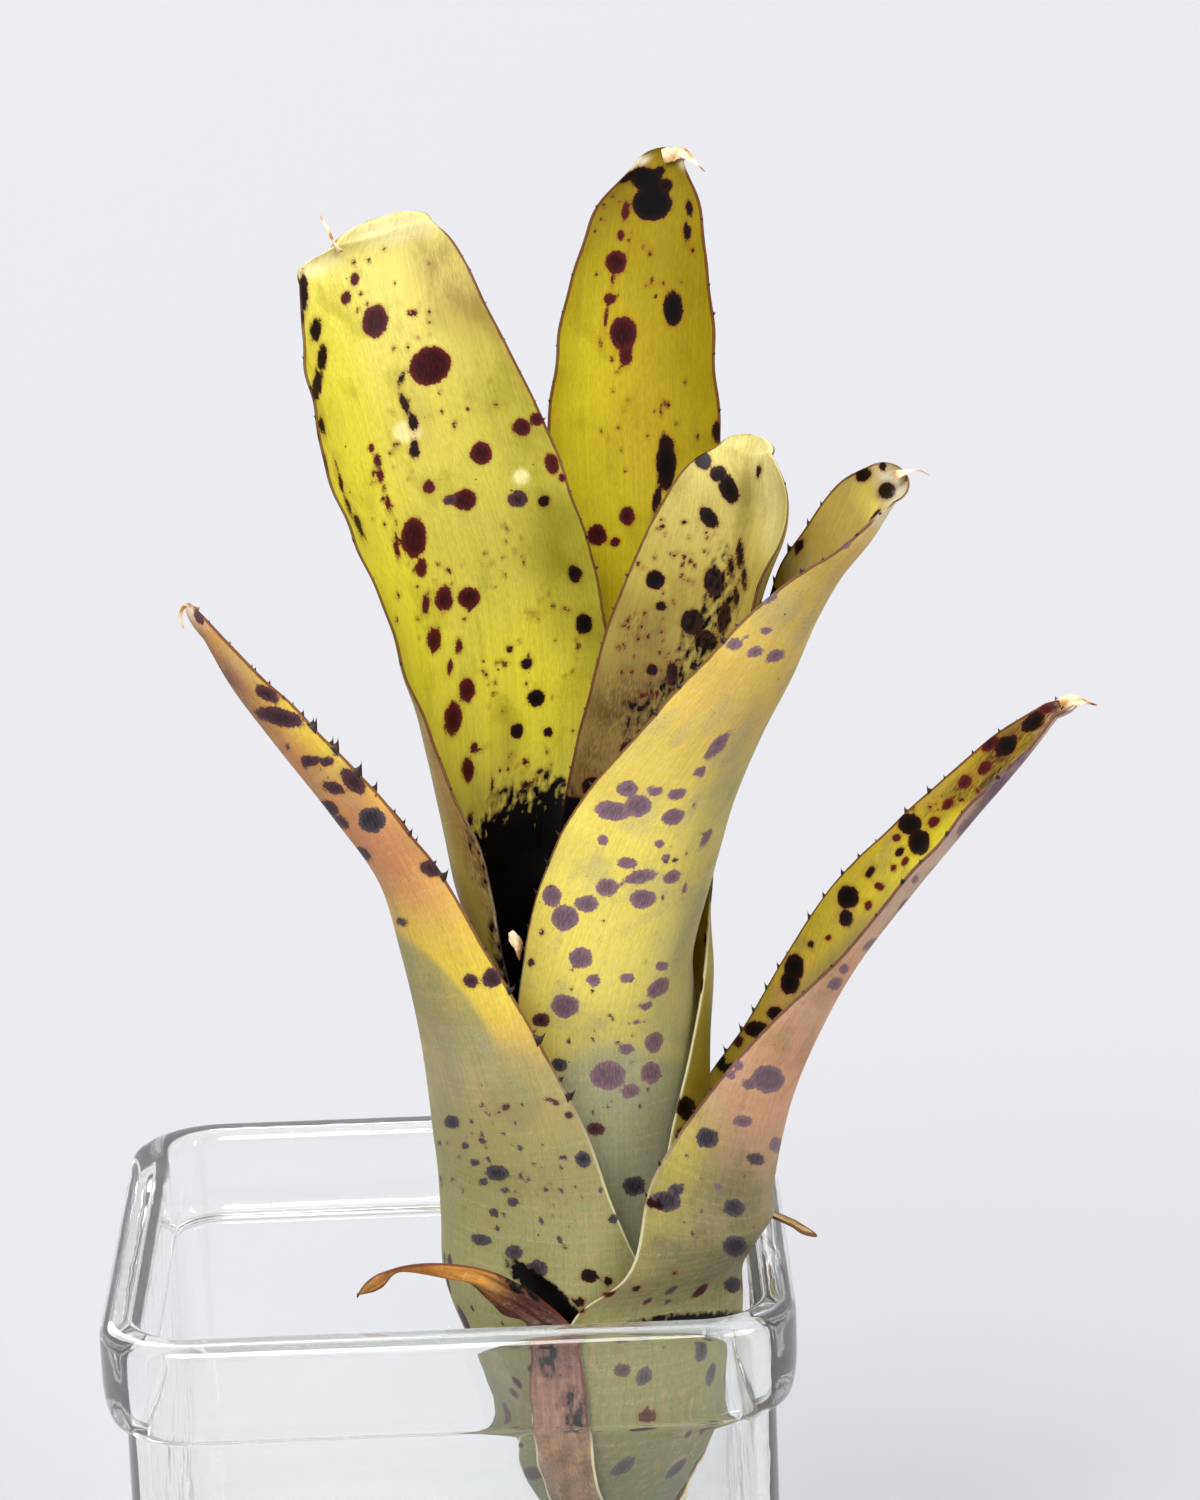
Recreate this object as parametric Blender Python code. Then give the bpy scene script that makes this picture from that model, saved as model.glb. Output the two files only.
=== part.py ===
# A young tank bromeliad standing in a square pressed-glass jar.
# Six channelled, spine-edged leaves wrap one another in a tube round a short woody stem.
# Two shrivelled old leaves hang at the foot of the tube. The jar stands on its flat underside.
# Lengths are in millimetres until they become mesh vertices, which are in metres.

from math import atan2, cos, pi, radians, sin
from random import Random

import bmesh
import bpy
from mathutils import Vector

MM = 0.001

# Jar
JAR_HEIGHT = 90.0
COLLAR_WIDTH = 100.0
COLLAR_HEIGHT = 11.4
BODY_WIDTH = 93.6
CORNER_RADIUS = 14.0
RIM_THICKNESS = 6.3
WALL_THICKNESS = 3.1
FLOOR_THICKNESS = 7.0
FOOT_ROUNDING = 3.0
CORNER_STEPS = 4

# Leaves
LEAF_THICKNESS = 0.9
LEAF_ROWS = 20
LEAF_COLUMNS = 12
SPINE_PITCH = 5.0
SPINE_PITCH_CHANGE = 0.9
SPINE_WIDTH = 1.8
SPINE_LENGTH = 1.5
SPINE_LEAN = 0.8
SPINE_MARGIN_AT_TIP = 5.0

# Old leaves
OLD_LEAF_THICKNESS = 0.8
OLD_LEAF_ROWS = 22
OLD_LEAF_COLUMNS = 4

# Stem
STEM_SIDES = 14
STEM_TOP = -17.0
STEM_FOOT_GAP = 0.3
STEM_RING_PITCH = 6.0
STEM_RING_RELIEF = 0.35

# Every height below is measured from the top of the jar, X is to the right and Y is away from
# the front. A sheath row is a level arc of the tube: height, centre x, centre y, radius, the way
# it faces in degrees from +X, and the angle that it covers to each side of that.
# A blade row is a channel: one margin, the other margin, and how deep the channel is between them.

LEAVES = {
    "leaf_low_right": {
        "colour": (0.52, 0.40, 0.18),
        "sheath": [
            (-45, 22.0, -13.0, 6.5, -10, 160),
            (-38, 22.0, -13.3, 10.6, -10, 150),
            (-28, 22.2, -14.0, 15.8, -10, 135),
            (-17, 22.5, -14.8, 19.4, -10, 115),
            (-8, 22.5, -15.0, 20.2, -9, 100),
            (-2.5, 22.6, -15.1, 20.3, -9, 92),
            (3, 23.6, -15.0, 22.4, -8, 78),
        ],
        "blade": [
            ((38.6, 3, 18.6), (30.2, -38, 18.8), 15.8),
            ((45.1, -3, 29.9), (38.3, -38.5, 31.2), 10.8),
            ((51.1, -8, 41.8), (47.9, -37.5, 41.5), 7.8),
            ((57.6, -12, 52.9), (57.3, -36, 49.6), 5.4),
            ((64.9, -16, 61.6), (66.4, -34.5, 59.7), 4.6),
            ((73.1, -19, 70.0), (76, -33, 70.0), 3.8),
            ((81.8, -22, 78.2), (83.4, -31, 76.7), 2.6),
            ((88.1, -24.5, 82.7), (89.3, -28.2, 81.7), 1.0),
        ],
        "tip": (95.3, -27, 83.2),
        "spines_above": 16,
    },
    "leaf_low_left": {
        "colour": (0.50, 0.42, 0.16),
        "sheath": [
            (-41, 22.0, -13.0, 6.2, 213, 155),
            (-34, 21.8, -13.0, 10.0, 213, 145),
            (-24, 21.4, -13.2, 14.2, 213, 124),
            (-14, 20.8, -13.3, 17.8, 213, 96),
            (-4, 20.3, -12.6, 20.7, 213, 88),
            (6, 20.6, -12.8, 21.2, 213, 74),
            (14, 21.0, -13.0, 21.8, 213, 65),
        ],
        "blade": [
            ((21, -37, 25), (1, -5, 25), 11.0),
            ((15, -38, 39), (0.5, -8, 38), 9.5),
            ((8, -37, 52.5), (-0.5, -12, 51), 8.2),
            ((1.5, -36, 65), (-2.5, -14, 63.5), 7.4),
            ((-7, -34.5, 76.5), (-9.5, -17, 73.6), 6.4),
            ((-17, -32, 87.5), (-18.5, -18.5, 84.6), 5.0),
            ((-23.5, -30, 94), (-24.5, -20.5, 92.0), 3.6),
            ((-28.5, -27.5, 99), (-29.2, -23.5, 98.0), 1.6),
        ],
        "tip": (-33, -25.5, 103),
        "spines_above": 30,
    },
    "leaf_back_tall": {
        "colour": (0.56, 0.52, 0.07),
        "sheath": [
            (-36, 22.0, -13.0, 6.0, 60, 155),
            (-29, 22.0, -13.0, 9.6, 60, 145),
            (-20, 22.0, -13.0, 13.0, 60, 135),
            (-8, 22.0, -13.0, 15.6, 60, 125),
            (5, 22.0, -13.0, 16.6, 60, 118),
            (19, 22.0, -13.0, 16.9, 60, 111),
            (32, 22.0, -13.0, 17.2, 62, 96),
            (42, 22.2, -12.6, 17.8, 63, 86),
            (52, 22.6, -11.2, 17.6, 65, 64),
            (64, 24.0, -8.0, 17.8, 66, 54),
        ],
        "blade": [
            ((17.6, 8, 80), (42.5, 1.5, 79.5), 8.0),
            ((18.6, 8, 95), (43, 2.5, 94.5), 7.8),
            ((18.8, 8, 109.5), (43.7, 3.5, 109), 7.5),
            ((19.6, 7, 121), (44, 5, 120), 7.0),
            ((21.6, 8, 133), (43.6, 7, 132.5), 5.8),
            ((24.8, 9.5, 144), (43, 9, 143.5), 4.5),
            ((28, 11, 150.5), (42.2, 11, 150), 3.2),
            ((33.4, 12.8, 156), (40.4, 12.8, 155.8), 1.4),
        ],
        "tip": (38.6, 13.6, 159),
        "spines_above": 60,
    },
    "leaf_front": {
        "colour": (0.60, 0.55, 0.17),
        "sheath": [
            (-32, 22.0, -13.0, 5.8, 300, 150),
            (-25, 22.0, -13.0, 8.6, 300, 140),
            (-16, 22.0, -13.0, 11.6, 300, 125),
            (-4, 22.0, -13.0, 14.0, 300, 110),
            (10, 22.0, -13.0, 15.2, 300, 95),
            (24, 22.0, -13.0, 15.5, 300, 84),
            (35, 22.0, -13.3, 15.7, 300, 74),
        ],
        "blade": [
            ((35.2, -10.5, 47), (12.5, -27, 46), 12.4),
            ((38.5, -9, 60), (15.5, -30, 60), 12.3),
            ((42.5, -9, 73), (22, -32.5, 73.5), 11.0),
            ((46, -8, 83), (30, -34, 83), 10.0),
            ((49, -8, 92), (39, -34, 92.5), 9.4),
            ((52.5, -8.5, 101.6), (47.5, -33, 100.5), 8.0),
            ((56.4, -10, 107.4), (54.6, -31.5, 105.5), 6.2),
            ((60.8, -13, 113.6), (62.1, -30, 109.6), 4.4),
            ((64.7, -18, 116.8), (67, -27, 113.7), 2.2),
        ],
        "tip": (70.5, -24.5, 117),
        "spines_above": 40,
    },
    "leaf_left_tall": {
        "colour": (0.58, 0.58, 0.15),
        "sheath": [
            (-28, 22.0, -13.0, 5.4, 145, 150),
            (-20, 22.0, -13.0, 8.4, 145, 138),
            (-10, 22.0, -13.0, 11.0, 145, 120),
            (4, 22.0, -13.0, 13.0, 145, 106),
            (20, 22.0, -13.0, 13.9, 145, 92),
            (36, 21.6, -13.4, 14.0, 145, 82),
            (49, 20.8, -14.0, 15.3, 145, 79),
        ],
        "blade": [
            ((8, -25, 62), (27, 1.5, 60), 14.2),
            ((3.5, -20, 72.5), (27.5, 2.4, 69.6), 13.2),
            ((-1.5, -16, 86), (27, 1.8, 82), 11.6),
            ((-6, -14, 100.5), (26, 0.5, 95.3), 10.4),
            ((-11.5, -12, 114.5), (22.5, -1, 110), 8.8),
            ((-14.2, -9, 128), (17.6, 2, 123.5), 7.0),
            ((-15.2, -5, 137.5), (11.4, 5, 136.5), 5.0),
            ((-15.2, -2, 142.4), (8.4, 7, 143.2), 3.6),
            ((-14.6, 0.2, 145.2), (5.8, 8, 147.4), 2.2),
            ((-10.8, 2.2, 147.0), (3.4, 8.2, 149.6), 1.2),
        ],
        "tip": (-4, 6.6, 151),
        "spines_above": 50,
    },
    "leaf_inner_right": {
        "colour": (0.55, 0.50, 0.26),
        "sheath": [
            (-24, 22.0, -13.0, 5.0, 25, 150),
            (-16, 22.0, -13.0, 7.4, 25, 138),
            (-6, 22.0, -13.0, 9.6, 25, 122),
            (8, 22.0, -13.0, 11.4, 25, 108),
            (24, 22.0, -13.0, 12.2, 25, 96),
            (40, 21.8, -13.4, 11.9, 25, 88),
        ],
        "blade": [
            ((18, -4, 55), (29, -26.5, 55), 10.2),
            ((20, -3.4, 67), (35, -26.5, 67), 9.6),
            ((23.5, -2, 80), (42, -24, 82), 9.5),
            ((27, -0.5, 91), (46, -21, 94), 8.5),
            ((31, 0.5, 100), (49.5, -19, 103), 7.5),
            ((35, 1.5, 107.5), (52.6, -16, 109.5), 6.2),
            ((39.5, 2.5, 113.5), (52.4, -12, 114), 4.2),
            ((44, 3, 116.2), (51, -5, 116.2), 1.7),
        ],
        "tip": (49.5, 1.5, 118.2),
        "spines_above": 45,
    },
}

OLD_LEAVES = {
    "old_leaf_left": {
        "colour": (0.30, 0.15, 0.05),
        "sheath": [
            (-48.5, 22.0, -13.0, 6.7, 250, 60),
            (-42, 22.0, -13.2, 10.0, 250, 30),
            (-36, 22.0, -13.4, 13.4, 250, 19),
            (-28, 22.2, -14.0, 17.4, 250, 14),
            (-17, 22.5, -14.8, 21.0, 250, 12),
            (-8, 22.5, -15.0, 21.9, 250, 10),
        ],
        "blade": [
            ((17.4, -36.6, -3.6), (11.2, -36.0, -3.4), 0.9),
            ((14.2, -37.4, 0.2), (8.2, -36.4, -1.4), 1.0),
            ((9.6, -37.8, 3.9), (5.4, -36.6, 1.6), 1.0),
            ((4.2, -38.2, 6.4), (2.0, -36.6, 4.4), 0.9),
            ((-1.4, -38.2, 7.2), (-1.9, -37.0, 5.6), 0.7),
            ((-5.6, -37.6, 6.7), (-5.9, -37.2, 5.9), 0.4),
            ((-9.4, -36.8, 5.1), (-9.2, -37.2, 3.8), 0.4),
        ],
        "tip": (-13.4, -36.8, 1.4),
        "spines_above": None,
    },
    "old_leaf_right": {
        "colour": (0.62, 0.33, 0.08),
        "sheath": [
            (-48.5, 22.0, -13.0, 6.7, 28, 55),
            (-42, 22.0, -13.2, 10.0, 28, 26),
            (-36, 22.0, -13.4, 13.4, 28, 14),
            (-28, 22.2, -14.0, 17.4, 28, 8),
            (-17, 22.5, -14.8, 20.9, 28, 6),
            (-8, 22.5, -15.0, 21.7, 28, 5),
        ],
        "blade": [
            ((42.1, -3.9, -2.6), (42.5, -6.2, -2.6), 0.3),
            ((44.2, -4.2, 1.3), (45.0, -6.6, 1.4), 0.3),
            ((48.2, -9.6, 1.9), (47.2, -11.2, 1.7), 0.2),
            ((51.6, -14.8, 1.7), (50.4, -15.8, 1.5), 0.2),
        ],
        "tip": (54.4, -20, 1.4),
        "spines_above": None,
    },
}


def clear_scene():
    for thing in list(bpy.data.objects):
        bpy.data.objects.remove(thing, do_unlink=True)


def principled(name, colour, roughness, transmission=0.0, ior=1.45):
    material = bpy.data.materials.new(name)
    material.use_nodes = True
    shader = material.node_tree.nodes["Principled BSDF"]
    shader.inputs["Base Color"].default_value = (*colour, 1.0)
    shader.inputs["Roughness"].default_value = roughness
    shader.inputs["Metallic"].default_value = 0.0
    shader.inputs["Transmission Weight"].default_value = transmission
    shader.inputs["IOR"].default_value = ior
    return material


def add_object(name, vertices, faces, material):
    # Vertices come in millimetres, with heights from the jar's rim
    mesh = bpy.data.meshes.new(name)
    placed = [(Vector(v) + Vector((0, 0, JAR_HEIGHT))) * MM for v in vertices]
    mesh.from_pydata(placed, [], faces)
    shape = bmesh.new()
    shape.from_mesh(mesh)
    bmesh.ops.recalc_face_normals(shape, faces=shape.faces)
    shape.to_mesh(mesh)
    shape.free()
    mesh.shade_smooth()
    mesh.set_sharp_from_angle(angle=radians(40))
    mesh.materials.append(material)
    thing = bpy.data.objects.new(name, mesh)
    bpy.context.collection.objects.link(thing)
    return thing


# A station of a leaf holds its two margins, the depth of the arc between them and the way
# that the arc bulges, which is towards the leaf's outer face.

def sheath_station(height, centre_x, centre_y, radius, facing, spread):
    def on_arc(angle):
        angle = radians(angle)
        return Vector((centre_x + radius * cos(angle), centre_y + radius * sin(angle), height))

    depth = radius * (1 - cos(radians(spread)))
    bulge = Vector((cos(radians(facing)), sin(radians(facing)), 0))
    return [on_arc(facing + spread), on_arc(facing - spread), depth, bulge]


def leaf_stations(leaf):
    stations = [sheath_station(*row) for row in leaf["sheath"]]
    blade = [(Vector(one), Vector(other), depth) for one, other, depth in leaf["blade"]]
    middles = [(one + other) / 2 for one, other, depth in blade]
    for i, (one, other, depth) in enumerate(blade):
        along = middles[min(i + 1, len(blade) - 1)] - middles[max(i - 1, 0)]
        bulge = along.cross(other - one).normalized()
        stations.append([one, other, depth, bulge])
    return stations


def station_distances(stations):
    # Distance along the leaf, taken from the height and the shift of the line between its margins
    distances = [0.0]
    for last, this in zip(stations, stations[1:]):
        step = (this[0] + this[1] - last[0] - last[1]) / 2
        sideways = Vector((step.x, step.y)).length
        distances.append(distances[-1] + max(2.0, abs(step.z) + sideways / 2))
    return distances


def smooth_value(values, distances, place):
    # Cubic curve through the values, with its slopes taken from the neighbouring stations
    last = len(values) - 1
    i = max(k for k in range(last) if k == 0 or distances[k] <= place)

    def slope(k):
        if k == 0:
            return (values[1] - values[0]) / (distances[1] - distances[0])
        if k == last:
            return (values[last] - values[last - 1]) / (distances[last] - distances[last - 1])
        before = distances[k] - distances[k - 1]
        after = distances[k + 1] - distances[k]
        rise_before = (values[k] - values[k - 1]) / before
        rise_after = (values[k + 1] - values[k]) / after
        return (rise_before * after + rise_after * before) / (before + after)

    span = distances[i + 1] - distances[i]
    t = (place - distances[i]) / span
    return (values[i] * (2 * t**3 - 3 * t**2 + 1) + slope(i) * span * (t**3 - 2 * t**2 + t)
            + values[i + 1] * (3 * t**2 - 2 * t**3) + slope(i + 1) * span * (t**3 - t**2))


class LeafSurface:
    # The leaf's middle surface: place runs from its base to its end, across runs from -1 to 1

    def __init__(self, leaf):
        stations = leaf_stations(leaf)
        self.columns = list(zip(*stations))
        self.distances = station_distances(stations)
        self.length = self.distances[-1]

    def section(self, place):
        one, other, depth, bulge = (smooth_value(c, self.distances, place) for c in self.columns)
        chord = other - one
        width = chord.normalized()
        bulge = (bulge - width * bulge.dot(width)).normalized()
        half = chord.length / 2
        depth = max(depth, 0.05)
        radius = (half**2 + depth**2) / (2 * depth)
        spread = atan2(half, radius - depth)
        return (one + other) / 2, width, bulge, depth, radius, spread

    def point(self, place, across):
        middle, width, bulge, depth, radius, spread = self.section(place)
        angle = across * spread
        return middle + width * radius * sin(angle) + bulge * (depth - radius * (1 - cos(angle)))

    def outward(self, place, across):
        middle, width, bulge, depth, radius, spread = self.section(place)
        return bulge * cos(across * spread) + width * sin(across * spread)

    def off_margin(self, place, side):
        middle, width, bulge, depth, radius, spread = self.section(place)
        return width * side * cos(spread) - bulge * sin(spread)


def margin_places(surface, side, rows, spines_above, draw):
    # Places along one margin, each with whether a spine stands on the stretch that it starts.
    # The sheath's margin is bare and follows the rows. Spines follow from there to near the tip.
    if spines_above is None:
        return [(place, False) for place in rows]
    fine = [surface.length * k / 400 for k in range(401)]
    start = next(place for place in fine if surface.point(place, side).z > spines_above)
    places = [(place, False) for place in rows if place < start - 0.5]
    travelled = 0.0
    next_spine = draw.uniform(0.3, 1.0) * SPINE_PITCH
    last = surface.point(start, side)
    base_start = None
    for place in fine:
        if place <= start:
            continue
        here = surface.point(place, side)
        travelled += (here - last).length
        last = here
        if base_start is None and travelled >= next_spine:
            base_start = place
            next_spine = travelled + SPINE_WIDTH
        elif base_start is not None and travelled >= next_spine:
            if place > surface.length - SPINE_MARGIN_AT_TIP:
                break
            places += [(base_start, True), (place, False)]
            base_start = None
            change = draw.uniform(-SPINE_PITCH_CHANGE, SPINE_PITCH_CHANGE)
            next_spine = travelled + SPINE_PITCH - SPINE_WIDTH + change
    places.append((surface.length, False))
    return places


def zip_triangles(first, first_places, second, second_places):
    # Triangles between two lines of vertices that run side by side with different spacings
    faces = []
    i = j = 0
    while i < len(first) - 1 or j < len(second) - 1:
        first_left = i < len(first) - 1
        second_left = j < len(second) - 1
        if first_left and (not second_left or first_places[i + 1] <= second_places[j + 1]):
            faces.append((first[i], first[i + 1], second[j]))
            i += 1
        else:
            faces.append((first[i], second[j + 1], second[j]))
            j += 1
    return faces


def crowded_at_ends(share):
    # Rows lie twice as close at the flare of the base and at the tip as they would evenly
    return (share + (1 - cos(pi * share)) / 2) / 2


def leaf_mesh(leaf, rows, columns, thickness, draw):
    surface = LeafSurface(leaf)
    row_places = [surface.length * crowded_at_ends(k / rows) for k in range(rows + 1)]
    vertices = []
    faces = []

    def add(point):
        vertices.append(point)
        return len(vertices) - 1

    def both_faces(place, across):
        middle = surface.point(place, across)
        offset = surface.outward(place, across) * thickness / 2
        return add(middle + offset), add(middle - offset)

    inside = []
    for k in range(1, columns):
        across = -1 + 2 * k / columns
        inside.append([both_faces(place, across) for place in row_places])
    for left, right in zip(inside, inside[1:]):
        for face in (0, 1):
            line = [pair[face] for pair in left]
            beside = [pair[face] for pair in right]
            faces += zip_triangles(line, row_places, beside, row_places)

    margins = {}
    for side, neighbour in ((-1, inside[0]), (1, inside[-1])):
        places = margin_places(surface, side, row_places, leaf["spines_above"], draw)
        margin = [both_faces(place, side) for place, spine in places]
        margins[side] = margin
        where = [place for place, spine in places]
        for face in (0, 1):
            line = [pair[face] for pair in neighbour]
            beside = [pair[face] for pair in margin]
            faces += zip_triangles(line, row_places, beside, where)
        for k, (place, spine) in enumerate(places[:-1]):
            outer, inner = margin[k]
            next_outer, next_inner = margin[k + 1]
            if not spine:
                faces += [(outer, next_outer, inner), (next_outer, next_inner, inner)]
                continue
            end = places[k + 1][0]
            along = (surface.point(end, side) - surface.point(place, side)).normalized()
            root = surface.point((place + end) / 2, side)
            apex = add(root + surface.off_margin(place, side) * SPINE_LENGTH + along * SPINE_LEAN)
            ring = (outer, next_outer, next_inner, inner)
            faces += [(a, b, apex) for a, b in zip(ring, ring[1:] + ring[:1])]

    base = [margins[-1][0]] + [column[0] for column in inside] + [margins[1][0]]
    for (outer, inner), (next_outer, next_inner) in zip(base, base[1:]):
        faces += [(outer, inner, next_outer), (inner, next_inner, next_outer)]

    end = [margins[-1][-1]] + [column[-1] for column in inside] + [margins[1][-1]]
    tip = add(Vector(leaf["tip"]))
    loop = [outer for outer, inner in end] + [inner for outer, inner in reversed(end)]
    faces += [(a, b, tip) for a, b in zip(loop, loop[1:] + loop[:1])]
    return vertices, faces


def make_leaves():
    for number, (name, leaf) in enumerate(LEAVES.items()):
        material = principled(name, leaf["colour"], 0.45)
        vertices, faces = leaf_mesh(leaf, LEAF_ROWS, LEAF_COLUMNS, LEAF_THICKNESS, Random(number))
        add_object(name, vertices, faces, material)


def make_old_leaves():
    for name, leaf in OLD_LEAVES.items():
        material = principled(name, leaf["colour"], 0.7)
        vertices, faces = leaf_mesh(leaf, OLD_LEAF_ROWS, OLD_LEAF_COLUMNS, OLD_LEAF_THICKNESS, None)
        add_object(name, vertices, faces, material)


def stacked_rings(rings):
    # Closed skin through rings of equal count, with a flat face on the first and the last
    count = len(rings[0])
    vertices = [point for ring in rings for point in ring]
    faces = [tuple(reversed(range(count)))]
    for k in range(len(rings) - 1):
        for j in range(count):
            low = k * count + j
            low_next = k * count + (j + 1) % count
            faces.append((low, low_next, low_next + count, low + count))
    faces.append(tuple(range((len(rings) - 1) * count, len(rings) * count)))
    return vertices, faces


def make_stem():
    # Woody stub from the jar's floor to inside the sheaths, with rings where old leaves came off
    foot = FLOOR_THICKNESS - JAR_HEIGHT + STEM_FOOT_GAP
    outline = [
        (foot, 20.0, -9.0, 3.7),
        (foot + 1.0, 20.0, -9.0, 4.3),
        (-74, 20.2, -9.4, 4.5),
        (-64, 20.8, -10.6, 4.7),
        (-55, 21.6, -12.2, 5.2),
        (-49, 22.0, -13.0, 5.7),
        (-45, 22.0, -13.0, 5.6),
        (-36, 22.0, -13.0, 5.1),
        (-28, 22.0, -13.0, 4.5),
        (-22, 22.0, -13.0, 4.0),
        (STEM_TOP - 1.5, 22.0, -13.0, 3.2),
        (STEM_TOP, 22.0, -13.0, 1.8),
    ]
    heights = [row[0] for row in outline]
    levels = set(heights)
    level = foot + STEM_RING_PITCH
    while level < -50:
        levels |= {level - 0.8, level, level + 0.8}
        level += STEM_RING_PITCH
    scars = {level for level in levels if level not in heights}
    rings = []
    for height in sorted(levels):
        x, y, radius = (smooth_value([row[k] for row in outline], heights, height)
                        for k in (1, 2, 3))
        is_crest = height + 0.8 in scars and height - 0.8 in scars
        radius += STEM_RING_RELIEF if is_crest else 0.0
        turns = [2 * pi * k / STEM_SIDES for k in range(STEM_SIDES)]
        rings.append([(x + radius * cos(a), y + radius * sin(a), height) for a in turns])
    vertices, faces = stacked_rings(rings)
    add_object("stem", vertices, faces, principled("stem", (0.16, 0.10, 0.05), 0.8))


def rounded_square(half, corner, height):
    points = []
    for quarter in range(4):
        centre_x = (half - corner) * (1 if quarter in (0, 3) else -1)
        centre_y = (half - corner) * (1 if quarter in (0, 1) else -1)
        for step in range(CORNER_STEPS + 1):
            angle = pi / 2 * (quarter + step / CORNER_STEPS)
            points.append((centre_x + corner * cos(angle), centre_y + corner * sin(angle), height))
    return points


def make_jar():
    body = BODY_WIDTH / 2
    collar = COLLAR_WIDTH / 2
    bead = RIM_THICKNESS / 2
    cavity = body - WALL_THICKNESS
    shoulder = collar - body
    underside = -JAR_HEIGHT
    floor = underside + FLOOR_THICKNESS
    fillet = FLOOR_THICKNESS - FOOT_ROUNDING

    profile = []
    for step in range(4):
        angle = pi / 2 * step / 3
        inset = FOOT_ROUNDING * (1 - sin(angle))
        profile.append((body - inset, underside + FOOT_ROUNDING * (1 - cos(angle))))
    profile.append((body, -COLLAR_HEIGHT - shoulder))
    for step in range(1, 4):
        angle = pi / 2 * step / 3
        profile.append((body + shoulder * sin(angle), -COLLAR_HEIGHT - shoulder * cos(angle)))
    for step in range(9):
        angle = pi * step / 8
        profile.append((collar - bead + bead * cos(angle), -bead + bead * sin(angle)))
    for step in range(4):
        angle = pi / 2 * step / 3
        inset = fillet * (1 - cos(angle))
        profile.append((cavity - inset, floor + fillet * (1 - sin(angle))))

    rings = []
    for half, height in profile:
        corner = CORNER_RADIUS - (collar - half)
        rings.append(rounded_square(half, corner, height))
    vertices, faces = stacked_rings(rings)
    glass = principled("jar_glass", (0.86, 0.93, 0.90), 0.03, transmission=1.0, ior=1.5)
    add_object("jar", vertices, faces, glass)


clear_scene()
make_jar()
make_stem()
make_old_leaves()
make_leaves()
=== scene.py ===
from math import cos, pi, radians, sin
from random import Random

import bmesh
import bpy
import numpy as np
from mathutils import Matrix, Vector
from mathutils.bvhtree import BVHTree


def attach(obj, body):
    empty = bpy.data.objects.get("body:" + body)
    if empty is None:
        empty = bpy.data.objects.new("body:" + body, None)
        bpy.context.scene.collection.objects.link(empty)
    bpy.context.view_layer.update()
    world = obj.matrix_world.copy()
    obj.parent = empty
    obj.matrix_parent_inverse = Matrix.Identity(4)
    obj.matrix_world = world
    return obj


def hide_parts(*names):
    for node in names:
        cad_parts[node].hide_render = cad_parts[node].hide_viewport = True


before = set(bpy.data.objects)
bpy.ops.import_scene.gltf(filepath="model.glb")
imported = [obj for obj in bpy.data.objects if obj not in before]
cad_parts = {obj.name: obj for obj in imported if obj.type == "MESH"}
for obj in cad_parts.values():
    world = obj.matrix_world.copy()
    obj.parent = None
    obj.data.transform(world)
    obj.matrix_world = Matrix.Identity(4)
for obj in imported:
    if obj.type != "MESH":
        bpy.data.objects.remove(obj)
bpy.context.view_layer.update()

mm = 0.001
jarHeight = 90.0  # mm; every height in the tables below is measured from the jar's rim


def linearColour(hexText):
    # sRGB hex to the linear values that Blender's nodes take
    shares = [int(hexText[i:i + 2], 16) / 255 for i in (0, 2, 4)]
    return [s / 12.92 if s <= 0.04045 else ((s + 0.055) / 1.055) ** 2.4 for s in shares] + [1.0]


def addNode(tree, kind, settings=None, inputs=None):
    # A kind without the word Node is a shader node. An input may be a number, a hex colour, a
    # socket, or a node, whose first output in use is then linked.
    node = tree.nodes.new(kind if "Node" in kind else "ShaderNode" + kind)
    for name, value in (settings or {}).items():
        if name == "stops":
            ramp = node.color_ramp
            while len(ramp.elements) < len(value):
                ramp.elements.new(0.5)
            for element, (place, hexText) in zip(ramp.elements, value.items()):
                element.position = place
                element.color = linearColour(hexText)
        else:
            setattr(node, name, value)
    for name, value in (inputs or {}).items():
        socket = node.inputs[name] if isinstance(name, int) else next(
            s for s in node.inputs if s.enabled and name in (s.name, s.identifier))
        if isinstance(value, bpy.types.Node):
            value = next(s for s in value.outputs if s.enabled)
        if isinstance(value, bpy.types.NodeSocket):
            tree.links.new(value, socket)
        else:
            socket.default_value = linearColour(value) if socket.type == "RGBA" else value
    return node


def newMaterial(name):
    material = bpy.data.materials.new(name)
    material.use_nodes = True
    material.node_tree.nodes.clear()
    return material, material.node_tree


def grainyMaterial(name, often, detail, stops, settings, translucency=0.0, relief=None):
    # A material and its shader, coloured by a noise that repeats so often per m along each axis
    material, tree = newMaterial(name)
    make = lambda *parts: addNode(tree, *parts)
    place = make("VectorMath", {"operation": "MULTIPLY"}, {
        "Vector": make("TexCoord").outputs["Object"], "Vector_001": often})
    noise = make("TexNoise", None, {"Vector": place, "Scale": 1.0, "Detail": detail})
    colour = make("ValToRGB", {"stops": stops}, {"Fac": noise})
    if relief:
        strength, height = relief
        settings = {**settings, "Normal": make("Bump", None, {
            "Strength": strength, "Distance": height * mm, "Height": noise})}
    shader = make("BsdfPrincipled", None, {"Base Color": colour, **settings})
    if translucency:
        through = make("BsdfTranslucent", None, {"Color": colour})
        shader = make("MixShader", None, {"Fac": translucency, "Shader": shader, "Shader_001": through})
    return material, shader


def newObject(name, data):
    made = bpy.data.objects.new(name, data)
    bpy.context.collection.objects.link(made)
    return made


def finishPiece(piece, material, shader, slot, nodes=()):
    addNode(material.node_tree, "OutputMaterial", None, {"Surface": shader})
    piece.data.materials.clear()
    piece.data.materials.append(material)
    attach(piece, "root")
    if nodes:
        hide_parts(*nodes)


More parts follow.
